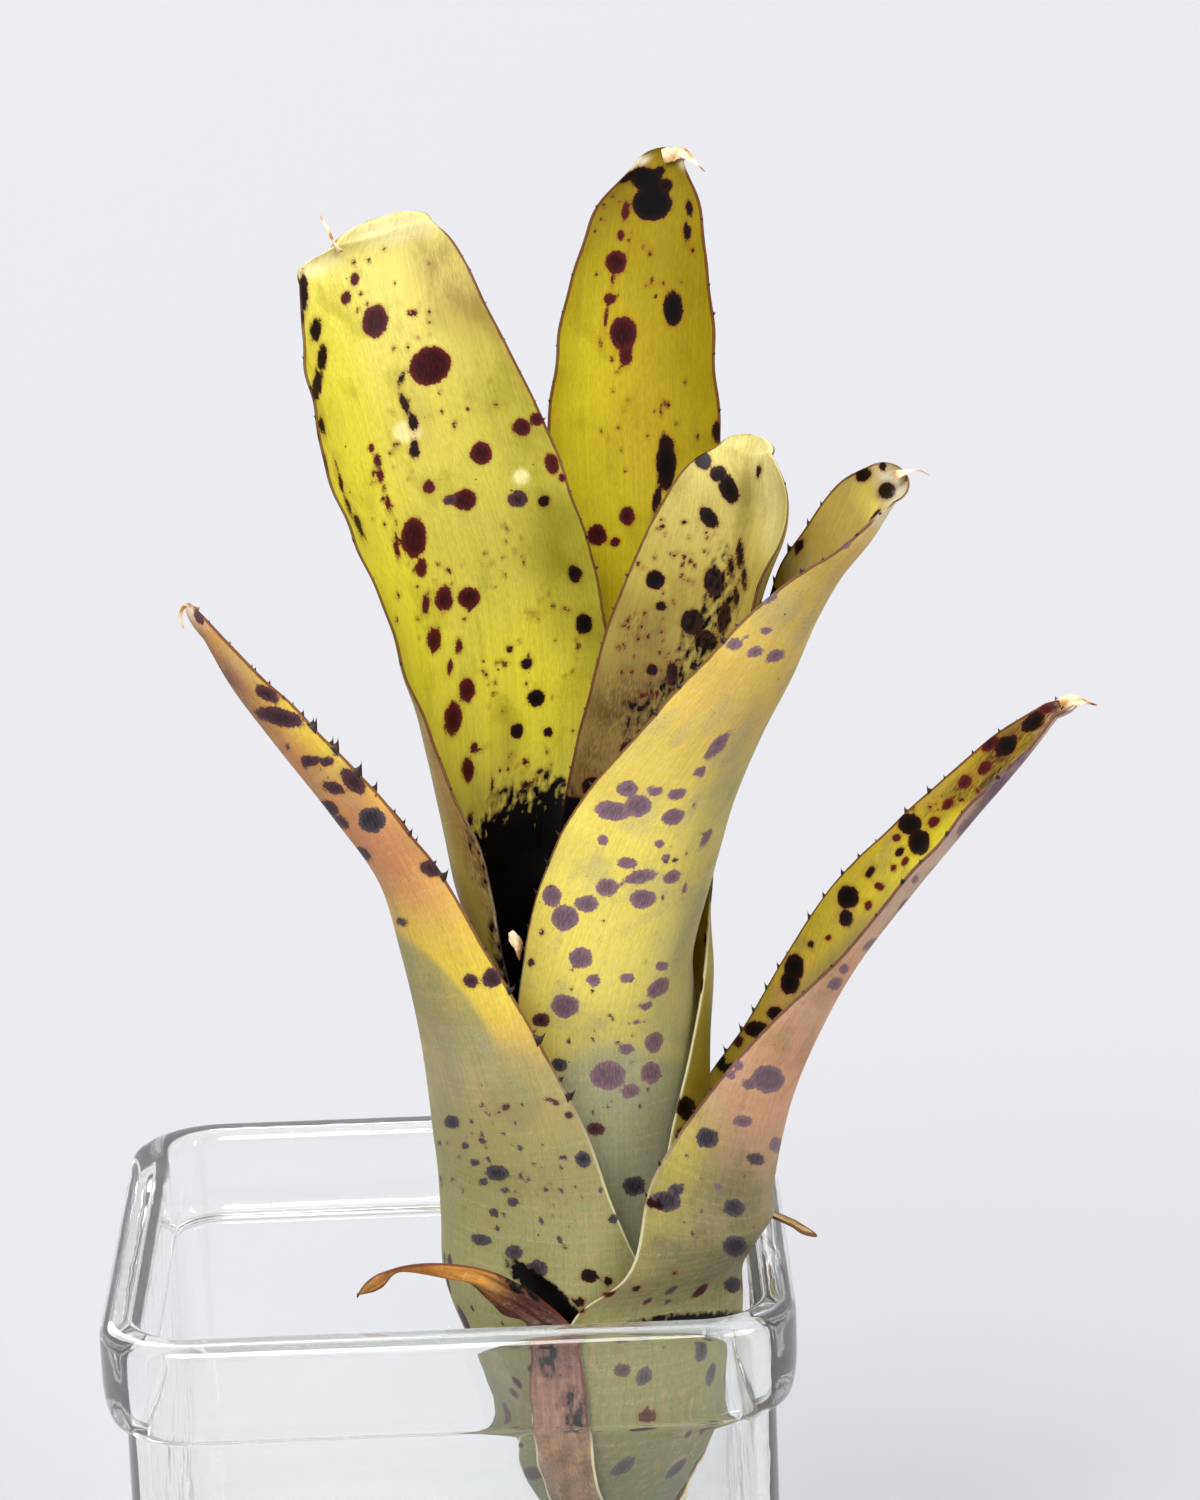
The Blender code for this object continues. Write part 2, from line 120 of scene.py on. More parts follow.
def meshPiece(name, points, faces, sharpAngle=50):
    # Points come in mm with heights from the jar's rim
    mesh = bpy.data.meshes.new(name)
    placed = (np.asarray(points, float) + (0, 0, jarHeight)) * mm
    mesh.from_pydata(placed.tolist(), [], faces)
    shape = bmesh.new()
    shape.from_mesh(mesh)
    bmesh.ops.recalc_face_normals(shape, faces=shape.faces)
    shape.to_mesh(mesh)
    shape.free()
    mesh.shade_smooth()
    mesh.set_sharp_from_angle(angle=radians(sharpAngle))
    return newObject(name, mesh)


# Camera at the photograph's place
cameraSet = {
    "place": (19.5275, -798.6101, 289.3545),  # mm, height from the jar's rim
    "yaw": -0.39503,
    "pitch": 15.23822,
    "roll": -2.09450,
    "focalPixels": 5661.09,
    "frameWidth": 1200,
    "frameHeight": 1500,
    "sensor": 36.0,
}

cameraTurn = (Matrix.Rotation(radians(cameraSet["yaw"]), 3, "Z")
              @ Matrix.Rotation(radians(90 - cameraSet["pitch"]), 3, "X")
              @ Matrix.Rotation(radians(cameraSet["roll"]), 3, "Z"))
cameraPlace = np.array(cameraSet["place"])
camera = newObject("camera", bpy.data.cameras.new("camera"))
camera.data.sensor_width = cameraSet["sensor"]
camera.data.lens = cameraSet["focalPixels"] * cameraSet["sensor"] / cameraSet["frameHeight"]
camera.location = (Vector(cameraPlace) + Vector((0, 0, jarHeight))) * mm
camera.rotation_euler = cameraTurn.to_euler()
bpy.context.scene.camera = camera


def toPhoto(points):
    # Pixel of the photograph that each point in mm falls on, and its depth
    seen = (np.asarray(points, float) - cameraPlace) @ np.array(cameraTurn)
    focal = cameraSet["focalPixels"]
    across = cameraSet["frameWidth"] / 2 + focal * seen[:, 0] / -seen[:, 2]
    down = cameraSet["frameHeight"] / 2 - focal * seen[:, 1] / -seen[:, 2]
    return np.stack([across, down], axis=1), -seen[:, 2]


# Leaf shapes. A sheath row is a level arc: its height, its radius and the angle in degrees that it
# covers to each side, then its centre x and y and the way it faces where they aren't those of
# "stand". A blade row is a channel: one margin, the other margin and the depth between them. The
# tip is a point. The last two leaves are dead.
leafShapes = {
    "leafLowRight": {
        "node": "leaf_low_right", "slot": "leaf_flushed", "tip": (92.2, -26.4, 83.3),
        "stand": (22, -13, -10), "lip": 0, "wave": 0.3, "teeth": 0.72, "teethAbove": 16,
        "sheath": [
            (-45, 6.5, 160), (-38, 10.6, 150, 22, -13.3, -10), (-28, 15.8, 135, 22.2, -14, -10),
            (-17, 19.4, 115, 22.5, -14.8, -10), (-8, 20.2, 100, 22.5, -15, -9),
            (-2.5, 20.3, 92, 22.6, -15.1, -9), (3, 22.4, 78, 23.6, -15, -8)],
        "blade": [
            ((38.6, 3, 18.6), (30.2, -38, 18.8), 15.8), ((45.1, -3, 29.9), (38.3, -38.5, 31.2), 10.8),
            ((51.1, -8, 41.8), (47.9, -37.5, 41.5), 7.8), ((57.6, -12, 52.9), (57.3, -36, 49.6), 5.4),
            ((64.9, -16, 61.6), (66.4, -34.5, 59.7), 4.6), ((73.1, -19, 70), (76, -33, 70), 3.8),
            ((81.8, -22, 78.2), (83.4, -31, 76.7), 2.6), ((88.1, -24.5, 82.7), (89.3, -28.2, 81.7), 1)],
    },
    "leafLowLeft": {
        "node": "leaf_low_left", "slot": "leaf_flushed", "tip": (-32.2, -25.4, 102.4),
        "stand": (22, -13, 213), "lip": 0, "wave": 0.3, "teeth": 1, "teethAbove": 30,
        "sheath": [
            (-41, 6.2, 155), (-34, 10, 145, 21.8, -13, 213), (-24, 14.2, 124, 21.4, -13.2, 213),
            (-14, 17.8, 96, 20.8, -13.3, 213), (-4, 20.7, 88, 20.3, -12.6, 213),
            (6, 21.2, 74, 20.6, -12.8, 213), (14, 21.8, 65, 21, -13, 213)],
        "blade": [
            ((21, -37, 25), (1, -5, 25), 11), ((15, -38, 39), (0.5, -8, 38), 9.5),
            ((8, -37, 52.5), (-0.5, -12, 51), 8.2), ((1.5, -36, 65), (-2.5, -14, 63.5), 7.4),
            ((-7, -34.5, 76.5), (-9.5, -17, 73.6), 6.4), ((-17, -32, 87.5), (-18.5, -18.5, 84.6), 5),
            ((-23.5, -30, 94), (-24.5, -20.5, 92), 3.6), ((-28.5, -27.5, 99), (-29.2, -23.5, 98), 1.6)],
    },
    "leafBackTall": {
        "node": "leaf_back_tall", "slot": "leaf_golden", "tip": (38, 13.6, 158),
        "stand": (22, -13, 60), "lip": 0.5, "wave": 0.2, "teeth": 0.5, "teethAbove": 60,
        "sheath": [
            (-36, 6, 155), (-29, 9.6, 145), (-20, 13, 135), (-8, 15.6, 125), (5, 16.6, 118),
            (19, 16.9, 111), (32, 17.2, 96, 22, -13, 62), (42, 17.8, 86, 22.2, -12.6, 63),
            (52, 17.6, 64, 22.6, -11.2, 65), (64, 17.8, 54, 24, -8, 66)],
        "blade": [
            ((17.6, 8, 80), (42.5, 1.5, 79.5), 8), ((18.6, 8, 95), (43, 2.5, 94.5), 7.8),
            ((18.8, 8, 109.5), (43.7, 3.5, 109), 7.5), ((19.6, 7, 121), (44, 5, 120), 7),
            ((21.6, 8, 133), (43.6, 7, 132.5), 5.8), ((24.8, 9.5, 144), (43, 9, 143.5), 4.5),
            ((28, 11, 150.5), (42.2, 11, 150), 3.2), ((33.4, 12.8, 156), (40.4, 12.8, 155.8), 1.4)],
    },
    "leafFront": {
        "node": "leaf_front", "slot": "leaf_yellow", "tip": (69, -24.2, 116.9),
        "stand": (22, -13, 300), "lip": 0, "wave": 0.22, "teeth": 0.7, "teethAbove": 40,
        "sheath": [
            (-32, 5.8, 150), (-25, 8.6, 140), (-16, 11.6, 125), (-4, 14, 110), (10, 15.2, 95),
            (24, 15.5, 84), (35, 15.7, 74, 22, -13.3, 300)],
        "blade": [
            ((35.2, -10.5, 47), (12.5, -27, 46), 12.4), ((38.5, -9, 60), (15.5, -30, 60), 12.3),
            ((42.5, -9, 73), (22, -32.5, 73.5), 11), ((46, -8, 83), (30, -34, 83), 10),
            ((49, -8, 92), (39, -34, 92.5), 9.4), ((52.5, -8.5, 101.6), (47.5, -33, 100.5), 8),
            ((56.4, -10, 107.4), (54.6, -31.5, 105.5), 6.2), ((60.8, -13, 113.6), (62.1, -30, 109.6), 4.4),
            ((64.7, -18, 116.8), (67, -27, 113.7), 2.2)],
    },
    "leafLeftTall": {
        "node": "leaf_left_tall", "slot": "leaf_lime", "tip": (-3.4, 6.9, 150.6),
        "stand": (22, -13, 145), "lip": 2.1, "wave": 0.2, "teeth": 0.46, "teethAbove": 50,
        "sheath": [
            (-28, 5.4, 150), (-20, 8.4, 138), (-10, 11, 120), (4, 13, 106), (20, 13.9, 92),
            (36, 14, 82, 21.6, -13.4, 145), (49, 15.3, 79, 20.8, -14, 145)],
        "blade": [
            ((8, -25, 62), (27, 1.5, 60), 14.2), ((3.5, -20, 72.5), (27.5, 2.4, 69.6), 13.2),
            ((-1.5, -16, 86), (27, 1.8, 82), 11.6), ((-6, -14, 100.5), (26, 0.5, 95.3), 10.4),
            ((-11.5, -12, 114.5), (22.5, -1, 110), 8.8), ((-14.2, -9, 128), (17.6, 2, 123.5), 7),
            ((-15.2, -5, 137.5), (11.4, 5, 136.5), 5), ((-15.2, -2, 142.4), (8.4, 7, 143.2), 3.6),
            ((-14.6, 0.2, 145.2), (5.8, 8, 147.4), 2.2), ((-10.8, 2.2, 147), (3.4, 8.2, 149.6), 1.2)],
    },
    "leafInnerRight": {
        "node": "leaf_inner_right", "slot": "leaf_pale", "tip": (49, 1.2, 117.6),
        "stand": (22, -13, 25), "lip": 1.1, "wave": 0.15, "teeth": 0.42, "teethAbove": 45,
        "sheath": [
            (-24, 5, 150), (-16, 7.4, 138), (-6, 9.6, 122), (8, 11.4, 108), (24, 12.2, 96),
            (40, 11.9, 88, 21.8, -13.4, 25)],
        "blade": [
            ((18, -4, 55), (29, -26.5, 55), 10.2), ((20, -3.4, 67), (35, -26.5, 67), 9.6),
            ((23.5, -2, 80), (42, -24, 82), 9.5), ((27, -0.5, 91), (46, -21, 94), 8.5),
            ((31, 0.5, 100), (49.5, -19, 103), 7.5), ((35, 1.5, 107.5), (52.6, -16, 109.5), 6.2),
            ((39.5, 2.5, 113.5), (52.4, -12, 114), 4.2), ((44, 3, 116.2), (51, -5, 116.2), 1.7)],
    },
    "deadLeafLeft": {
        "node": "old_leaf_left", "slot": "old_leaf", "tip": (-12.9, -36.9, 2.2),
        "stand": (22, -13, 250), "lip": 0, "wave": 0, "teeth": 0, "teethAbove": 0, "crumple": 0.3,
        "spotShare": 0, "make": {"rows": 260, "columns": 48},
        "sheath": [
            (-48.5, 6.7, 60), (-42, 10, 30, 22, -13.2, 250), (-36, 13.4, 19, 22, -13.4, 250),
            (-28, 17.4, 14, 22.2, -14, 250), (-17, 21, 12, 22.5, -14.8, 250),
            (-8, 21.9, 10, 22.5, -15, 250)],
        "blade": [
            ((17.4, -36.6, -3.6), (11.2, -36, -3.4), 0.9), ((14.2, -37.4, 0.2), (8.2, -36.4, -1.4), 1),
            ((9.6, -37.8, 3.9), (5.4, -36.6, 1.6), 1), ((4.2, -38.2, 6.4), (2, -36.6, 4.4), 0.9),
            ((-1.4, -38.2, 7.2), (-1.9, -37, 5.6), 0.7), ((-5.6, -37.6, 6.7), (-5.9, -37.2, 5.9), 0.4),
            ((-9.4, -36.8, 5.1), (-9.2, -37.2, 3.8), 0.4)],
    },
    "deadLeafRight": {
        "node": "old_leaf_right", "slot": "old_leaf", "tip": (54, -20.5, 2.6),
        "stand": (22, -13, 28), "lip": 0, "wave": 0, "teeth": 0, "teethAbove": 0, "crumple": 0.22,
        "spotShare": 0, "make": {"rows": 200, "columns": 36},
        "sheath": [
            (-48.5, 6.7, 55), (-42, 10, 30, 22, -13.2, 28), (-36, 13.4, 18, 22, -13.4, 28),
            (-28, 17.4, 12, 22.2, -14, 28), (-17, 20.9, 9, 22.5, -14.8, 28), (-8, 21.7, 7, 22.5, -15, 28)],
        "blade": [
            ((41.9, -3.5, -2.6), (42.6, -5.9, -2.6), 0.3), ((44.6, -3, 1.5), (45.2, -5.2, 1.6), 0.3),
            ((48, -8.8, 2.5), (47.3, -10.2, 2.1), 0.2), ((51.2, -14.6, 2.8), (50.7, -15.5, 2.5), 0.1)],
    },
}

# Marks of each leaf on the face that the photograph shows there, in pixels of the photograph:
# centre x, centre y, half width, half height and, where it isn't 0, the turn in degrees
leafMarks = {
    ("leafLeftTall", "inner"): {
        "maroon": [(430, 366, 22, 19, -30), (375, 321, 13, 17, 10), (355, 279, 5, 8, 12),
            (346, 298, 5, 7, 10), (413, 313, 5, 4), (429, 322, 2, 2), (418, 338, 2, 2), (481, 453, 11, 12),
            (522, 427, 10, 9), (537, 419, 8, 7), (465, 500, 12, 11), (429, 487, 6, 7), (371, 448, 3, 4),
            (377, 461, 4, 7, -10), (380, 475, 4, 8, -8), (384, 488, 2, 4), (388, 505, 3, 9, -8),
            (414, 538, 13, 21), (421, 568, 6, 10), (397, 546, 3, 13, -8), (444, 599, 9, 13),
            (469, 598, 11, 11), (426, 604, 4, 10), (434, 640, 7, 13), (459, 647, 4, 8), (450, 667, 3, 7),
            (467, 690, 8, 13), (453, 719, 9, 18, 5), (474, 748, 4, 6), (468, 770, 7, 12),
            (552, 464, 7, 11, -20), (562, 478, 4, 4)],
        "black": [(316, 330, 6, 12, 5), (322, 357, 5, 13, 5), (317, 385, 5, 16, 8), (303, 292, 5, 20, -3),
            (301, 318, 4, 9), (322, 426, 3, 9, -8), (324, 464, 3, 12, -10), (340, 480, 2, 14, -16),
            (348, 505, 2, 12, -18), (359, 526, 3, 13, -20), (405, 405, 4, 14, -24), (413, 422, 5, 10, -14),
            (414, 449, 5, 10, -8), (401, 378, 3, 7, 20), (544, 501, 6, 6), (575, 574, 7, 9, -15),
            (584, 624, 9, 10), (509, 649, 4, 4), (526, 664, 6, 6), (536, 698, 9, 9), (517, 731, 7, 8),
            (548, 732, 5, 5), (573, 731, 2, 2), (492, 787, 2, 8), (526, 785, 5, 4), (539, 772, 3, 3),
            (470, 820, 3, 8)],
        "plum": [(518, 499, 10, 9), (450, 500, 7, 6)]},
    ("leafBackTall", "inner"): {
        "black": [(652, 203, 20, 18), (647, 180, 17, 13, 20), (630, 176, 12, 4, -30), (665, 185, 8, 7),
            (660, 171, 5, 6), (673, 309, 10, 18), (666, 463, 10, 29), (657, 498, 4, 15, 10),
            (717, 432, 5, 11), (687, 233, 4, 11, -5), (689, 208, 4, 9, -12)],
        "maroon": [(626, 211, 4, 10, 8), (621, 235, 4, 5), (616, 262, 11, 12), (613, 279, 2, 8, 5),
            (610, 299, 6, 6), (606, 317, 2, 13, 8), (601, 344, 1.5, 4), (623, 333, 14, 17),
            (626, 355, 7, 11), (627, 516, 8, 10, -10), (597, 535, 10, 11), (615, 542, 5, 5),
            (697, 436, 2, 3), (662, 404, 1.5, 4), (662, 412, 1.5, 3)]},
    ("leafBackTall", "outer"): {
        "black": [(693, 975, 7, 13), (688, 926, 2, 7), (686, 1108, 10, 12)],
        "maroon": [(682, 1006, 2, 6), (683, 1019, 3, 3), (682, 1046, 4, 4)]},
    ("leafInnerRight", "inner"): {
        "black": [(703, 460, 8, 11, -35), (718, 474, 9, 8), (729, 489, 9, 16, -20), (709, 518, 8, 12, -30),
            (684, 522, 3, 2), (740, 555, 4, 15, -4), (744, 577, 3, 11), (731, 566, 3, 10),
            (736, 597, 3, 10), (655, 580, 10, 10), (661, 606, 6, 5), (714, 582, 10, 15, -8),
            (692, 622, 12, 13), (724, 617, 6, 17, 10), (652, 670, 6, 6), (672, 674, 6, 13),
            (706, 640, 12, 9, 30), (628, 749, 9, 8), (593, 787, 11, 11), (759, 471, 3, 6, 10),
            (574, 806, 6, 8)]},
    ("leafFront", "inner"): {
        "black": [(863, 475, 8, 7, -20), (883, 466, 4, 5), (887, 491, 9, 8, -20), (799, 547, 4, 8, 25)]},
    ("leafFront", "outer"): {
        "grey": [(768, 598, 10, 6, -20), (734, 644, 9, 6, -15), (747, 637, 4, 3), (766, 631, 6, 4, -10),
            (755, 652, 9, 5, -20), (775, 656, 11, 6, -25), (717, 746, 6, 18, 40), (700, 772, 5, 7, 40),
            (627, 789, 11, 8), (655, 791, 8, 5), (677, 794, 10, 6, -15), (612, 811, 18, 10, 8),
            (638, 806, 14, 11, -10), (673, 817, 12, 8, -15), (603, 840, 6, 5), (660, 844, 5, 4),
            (665, 857, 6, 3, -20), (627, 863, 10, 6), (640, 877, 17, 7, -14), (672, 877, 10, 7, -25),
            (607, 887, 11, 9), (643, 899, 13, 10, -5), (552, 896, 10, 11), (587, 904, 12, 9),
            (565, 918, 14, 13, -20), (581, 958, 12, 11), (594, 980, 8, 6), (627, 978, 8, 5, -10),
            (565, 1006, 14, 12), (662, 966, 7, 5), (658, 988, 13, 8, -40), (646, 1006, 7, 4, -10),
            (705, 839, 4, 11, 30), (626, 1049, 8, 6), (654, 1043, 9, 11, 25), (608, 1076, 18, 15),
            (651, 1073, 10, 12, 20), (630, 1091, 10, 7, -15), (636, 1022, 9, 2, -8), (807, 566, 12, 3, -30),
            (846, 544, 5, 4, -30), (684, 889, 3, 6, 20)],
        "plum": [(541, 1020, 9, 7), (531, 963, 4, 4), (596, 1129, 9, 7), (541, 932, 3, 3)],
        "slate": [(559, 1065, 8, 7, 20), (634, 1186, 12, 10)]},
    ("leafLowLeft", "outer"): {
        "plum": [(267, 694, 13, 7, 30), (280, 717, 26, 9, 15), (240, 649, 7, 4, 30), (263, 673, 6, 5, 60),
            (199, 617, 4, 9, -25), (310, 761, 10, 6), (327, 762, 8, 5), (353, 781, 16, 9, 45),
            (334, 788, 12, 6, 15), (328, 809, 11, 9, 20), (342, 822, 9, 5, 40), (363, 854, 9, 6, 35),
            (432, 869, 13, 8, 20), (402, 922, 6, 4, 20), (471, 981, 8, 7), (492, 978, 10, 10),
            (506, 1107, 4, 4), (547, 1099, 4, 2), (556, 1103, 4, 3), (569, 1115, 4, 4)],
        "slate": [(372, 820, 14, 13), (452, 1122, 8, 7), (465, 1146, 4, 4), (483, 1141, 4, 4),
            (497, 1173, 12, 8, 10), (483, 1182, 5, 4), (474, 1163, 4, 4), (513, 1202, 6, 5),
            (494, 1213, 5, 5), (583, 1159, 9, 8), (565, 1158, 4, 3), (613, 1219, 5, 5), (503, 1134, 3, 3),
            (520, 1148, 3, 3), (488, 1160, 3, 3), (505, 1190, 4, 3), (528, 1180, 3, 3), (541, 1221, 3, 4),
            (497, 1228, 3, 3), (560, 1240, 3, 4), (600, 1190, 3, 3), (481, 1240, 10, 6, 10),
            (514, 1252, 9, 7, 10), (537, 1269, 11, 9)],
        "black": [(589, 1276, 9, 7), (609, 1299, 7, 7), (580, 1302, 6, 5), (608, 1281, 5, 5),
            (559, 1297, 9, 5, 20)]},
    ("leafLowRight", "outer"): {
        "grey": [(768, 1079, 17, 14), (750, 1084, 9, 6), (743, 1121, 10, 6), (738, 1066, 5, 5),
            (731, 1075, 5, 5), (719, 1187, 5, 4), (776, 1145, 7, 8), (835, 984, 8, 6, -30),
            (870, 944, 9, 4, -40), (844, 969, 5, 5), (905, 905, 10, 4, -50), (935, 870, 8, 4, -50),
            (968, 825, 16, 6, -48), (997, 788, 22, 8, -50), (1020, 757, 12, 5, -50), (915, 880, 5, 3, -50)],
        "slate": [(707, 1138, 12, 10), (756, 1159, 9, 6), (734, 1208, 11, 9), (735, 1246, 12, 11),
            (666, 1201, 15, 11), (676, 1190, 8, 6)],
        "black": [(660, 1203, 8, 8), (651, 1203, 5, 5), (636, 1288, 4, 3), (675, 1273, 3, 2),
            (733, 1285, 9, 8), (668, 1200, 10, 8)]},
    ("leafLowRight", "inner"): {
        "black": [(1033, 722, 14, 8, -35), (1006, 746, 14, 9, -40), (919, 842, 11, 14), (910, 824, 12, 11),
            (883, 902, 6, 8), (848, 897, 11, 12), (846, 918, 7, 9), (811, 944, 3, 4), (794, 967, 10, 14),
            (790, 983, 10, 12), (820, 974, 5, 6), (775, 1013, 9, 7), (756, 1029, 12, 8), (721, 1064, 5, 9),
            (730, 1070, 8, 7), (870, 872, 4, 7, 30), (900, 852, 4, 6, 30)],
        "maroon": [(738, 1041, 6, 6), (1048, 708, 9, 6, -20), (990, 744, 10, 7, -35), (985, 768, 9, 6, -40),
            (965, 782, 8, 6, -40), (948, 804, 7, 5, -40), (896, 838, 5, 4), (905, 862, 3, 6, 20),
            (893, 868, 3, 4), (879, 886, 5, 4, 30), (868, 905, 4, 5), (934, 822, 7, 5, -40),
            (829, 938, 3, 3), (806, 1000, 5, 4)]},
}

# Soft tints: a mark's five numbers, then how soft the edge is and how strong the tint. The bright yellow
# tints are painted light, where sun fell on a leaf or shone through it.
# The grey-green shade tints are painted shadow, partly the sheath's own grey-green.
leafTints = {
    ("leafLeftTall", "inner"): {
        # Pale patches; along the top lip partly painted light on its roll
        "pale": [(318, 262, 30, 13, -22, 0.5, 0.9), (392, 229, 50, 14, -8, 0.5, 0.9),
            (407, 432, 14, 11, 0, 0.25, 0.9), (521, 477, 8, 8, 0, 0.2, 0.9)],
        "stain": [(450, 275, 34, 50, -35, 0.9, 0.55), (415, 428, 16, 24, -14, 0.7, 0.3),
            (520, 805, 52, 26, 0, 0.8, 0.6), (505, 745, 12, 60, 0, 0.9, 0.35)],
        "flush": [(500, 335, 12, 70, -30, 0.8, 0.6), (455, 300, 20, 45, -30, 0.9, 0.4)],
        "glow": [(345, 430, 40, 170, -12, 1, 0.8), (400, 610, 34, 130, -20, 1, 0.9),
            (530, 690, 55, 70, 0, 0.9, 0.9)],
        "shade": [(520, 410, 40, 120, -25, 1, 0.6), (570, 560, 34, 90, -15, 0.9, 0.7)],
        # Painted black shadow down in the shaded cup, partly real dark stain
        "soot": [(522, 912, 52, 108, 0, 0.4, 1), (490, 862, 20, 40, 0, 0.6, 0.8),
            (550, 850, 30, 60, 0, 0.6, 0.9), (520, 970, 26, 54, 0, 0.3, 1)]},
    ("leafLeftTall", "outer"): {
        "stain": [(482, 880, 12, 75, -22, 0.6, 0.9), (508, 960, 14, 40, -15, 0.6, 1)],
        "soot": [(489, 880, 7, 62, -22, 0.8, 0.3), (507, 965, 9, 42, -18, 0.8, 0.5)],
        "flush": [(440, 770, 12, 60, -22, 0.8, 0.5)]},
    ("leafBackTall", "inner"): {
        "glow": [(588, 390, 26, 130, 8, 1, 0.7), (612, 560, 34, 80, 0, 1, 0.8)],
        "shade": [(690, 320, 34, 170, -6, 1, 0.8), (640, 250, 30, 60, 0, 1, 0.5)],
        "stain": [(606, 210, 18, 30, 25, 0.8, 0.3)],
        "pale": [(636, 164, 15, 5, -28, 0.5, 1), (684, 160, 7, 12, -30, 0.5, 0.7)]},
    ("leafBackTall", "outer"): {
        "shade": [(690, 1060, 14, 80, 0, 0.9, 0.6)], "stain": [(692, 955, 8, 30, 0, 0.8, 0.8)]},
    ("leafInnerRight", "inner"): {
        # Pale curled lip: pale tissue, partly painted light where it turns to the light
        "pale": [(772, 462, 18, 40, -8, 0.7, 0.9), (778, 520, 14, 60, 0, 0.7, 0.8),
            (745, 442, 30, 6, 0, 0.7, 0.5)],
        "shade": [(744, 520, 8, 64, 6, 0.9, 0.7)],
        "stain": [(640, 630, 36, 26, 30, 0.8, 0.6), (625, 715, 40, 54, 20, 0.8, 0.85),
            (590, 775, 18, 60, 10, 0.8, 0.9)],
        "soot": [(704, 640, 20, 36, 20, 0.9, 0.38), (678, 694, 24, 26, 30, 0.9, 0.34),
            (722, 590, 16, 40, 0, 0.9, 0.3), (655, 720, 30, 34, 10, 0.9, 0.3),
            (566, 830, 24, 34, 0, 0.6, 1)]},
    ("leafFront", "inner"): {
        "glow": [(880, 505, 16, 26, -40, 0.8, 0.9)], "pale": [(893, 488, 14, 26, -25, 0.6, 0.9)],
        "stain": [(884, 490, 12, 9, -25, 0.6, 0.9)]},
    ("leafFront", "outer"): {
        "flush": [(735, 690, 85, 52, -48, 0.9, 0.55), (835, 575, 60, 20, -48, 0.9, 0.45),
            (610, 790, 30, 40, -40, 0.9, 0.3)],
        "glow": [(560, 930, 46, 120, 18, 0.9, 0.8), (640, 840, 60, 40, -20, 0.9, 0.7)],
        "shade": [(630, 1180, 130, 134, 0, 0.12, 0.9), (690, 960, 30, 130, 14, 0.9, 0.7),
            (720, 800, 22, 70, 25, 0.9, 0.5)],
        "pale": [(712, 912, 7, 80, 16, 0.8, 0.6), (880, 512, 10, 20, -35, 0.7, 0.7)]},
    ("leafLowLeft", "outer"): {
        "flush": [(395, 862, 76, 32, 42, 0.9, 0.9), (225, 660, 50, 14, 50, 0.9, 0.3),
            (300, 775, 50, 14, 46, 0.9, 0.5)],
        "glow": [(450, 935, 42, 112, -34, 0.4, 0.9), (330, 740, 20, 90, -45, 0.8, 0.8)],
        "shade": [(470, 1200, 190, 155, 0, 0.12, 0.9), (428, 1001, 100, 32, 48, 0.12, 0.9)],
        "stain": [(238, 690, 60, 9, 52, 0.8, 0.8), (500, 1110, 60, 20, 10, 1, 0.2),
            (400, 830, 60, 10, 45, 0.9, 0.4)],
        "pale": [(193, 612, 9, 9, 0, 0.5, 0.4), (455, 1075, 40, 36, 0, 1, 0.15)],
        "soot": [(546, 1294, 46, 11, 42, 0.4, 1), (604, 1324, 34, 8, 0, 0.6, 0.9)]},
    ("deadLeafLeft", "outer"): {
        "stain": [(535, 1300, 44, 22, 20, 0.8, 0.9)],
        "soot": [(520, 1285, 26, 7, 35, 0.6, 0.6), (548, 1345, 12, 22, 0, 0.7, 0.5),
            (572, 1400, 14, 20, 0, 0.7, 0.4)]},
    ("leafLowRight", "outer"): {
        "flush": [(780, 1080, 44, 80, 20, 0.9, 0.8), (850, 985, 60, 26, -48, 0.9, 0.8)],
        "pale": [(985, 830, 90, 12, -42, 0.9, 0.4), (1078, 704, 16, 8, 0, 0.6, 0.9)],
        "glow": [(675, 1190, 26, 66, 20, 0.9, 0.9), (930, 905, 60, 9, -48, 0.8, 0.7)],
        "shade": [(705, 1235, 90, 88, 0, 0.7, 0.9), (650, 1280, 40, 50, 0, 0.8, 0.6)],
        "stain": [(1000, 790, 60, 10, -45, 0.8, 0.7)], "soot": [(690, 1324, 70, 9, -5, 0.6, 0.9)]},
    ("leafLowRight", "inner"): {
        "flush": [(790, 985, 26, 10, -50, 0.8, 0.6)],
        "stain": [(1040, 720, 40, 12, -38, 0.4, 1), (1000, 752, 34, 13, -42, 0.5, 1),
            (962, 790, 28, 11, -45, 0.6, 0.9), (935, 815, 18, 11, -45, 0.8, 0.7),
            (1010, 760, 62, 5, -43, 0.6, 1)],
        "glow": [(712, 1062, 16, 30, 40, 0.8, 0.9), (925, 850, 60, 22, -42, 0.9, 0.9)],
        "shade": [(830, 970, 90, 12, -48, 0.9, 0.8)]},
}
tintKinds = ("flush", "glow", "shade", "stain", "soot", "pale")

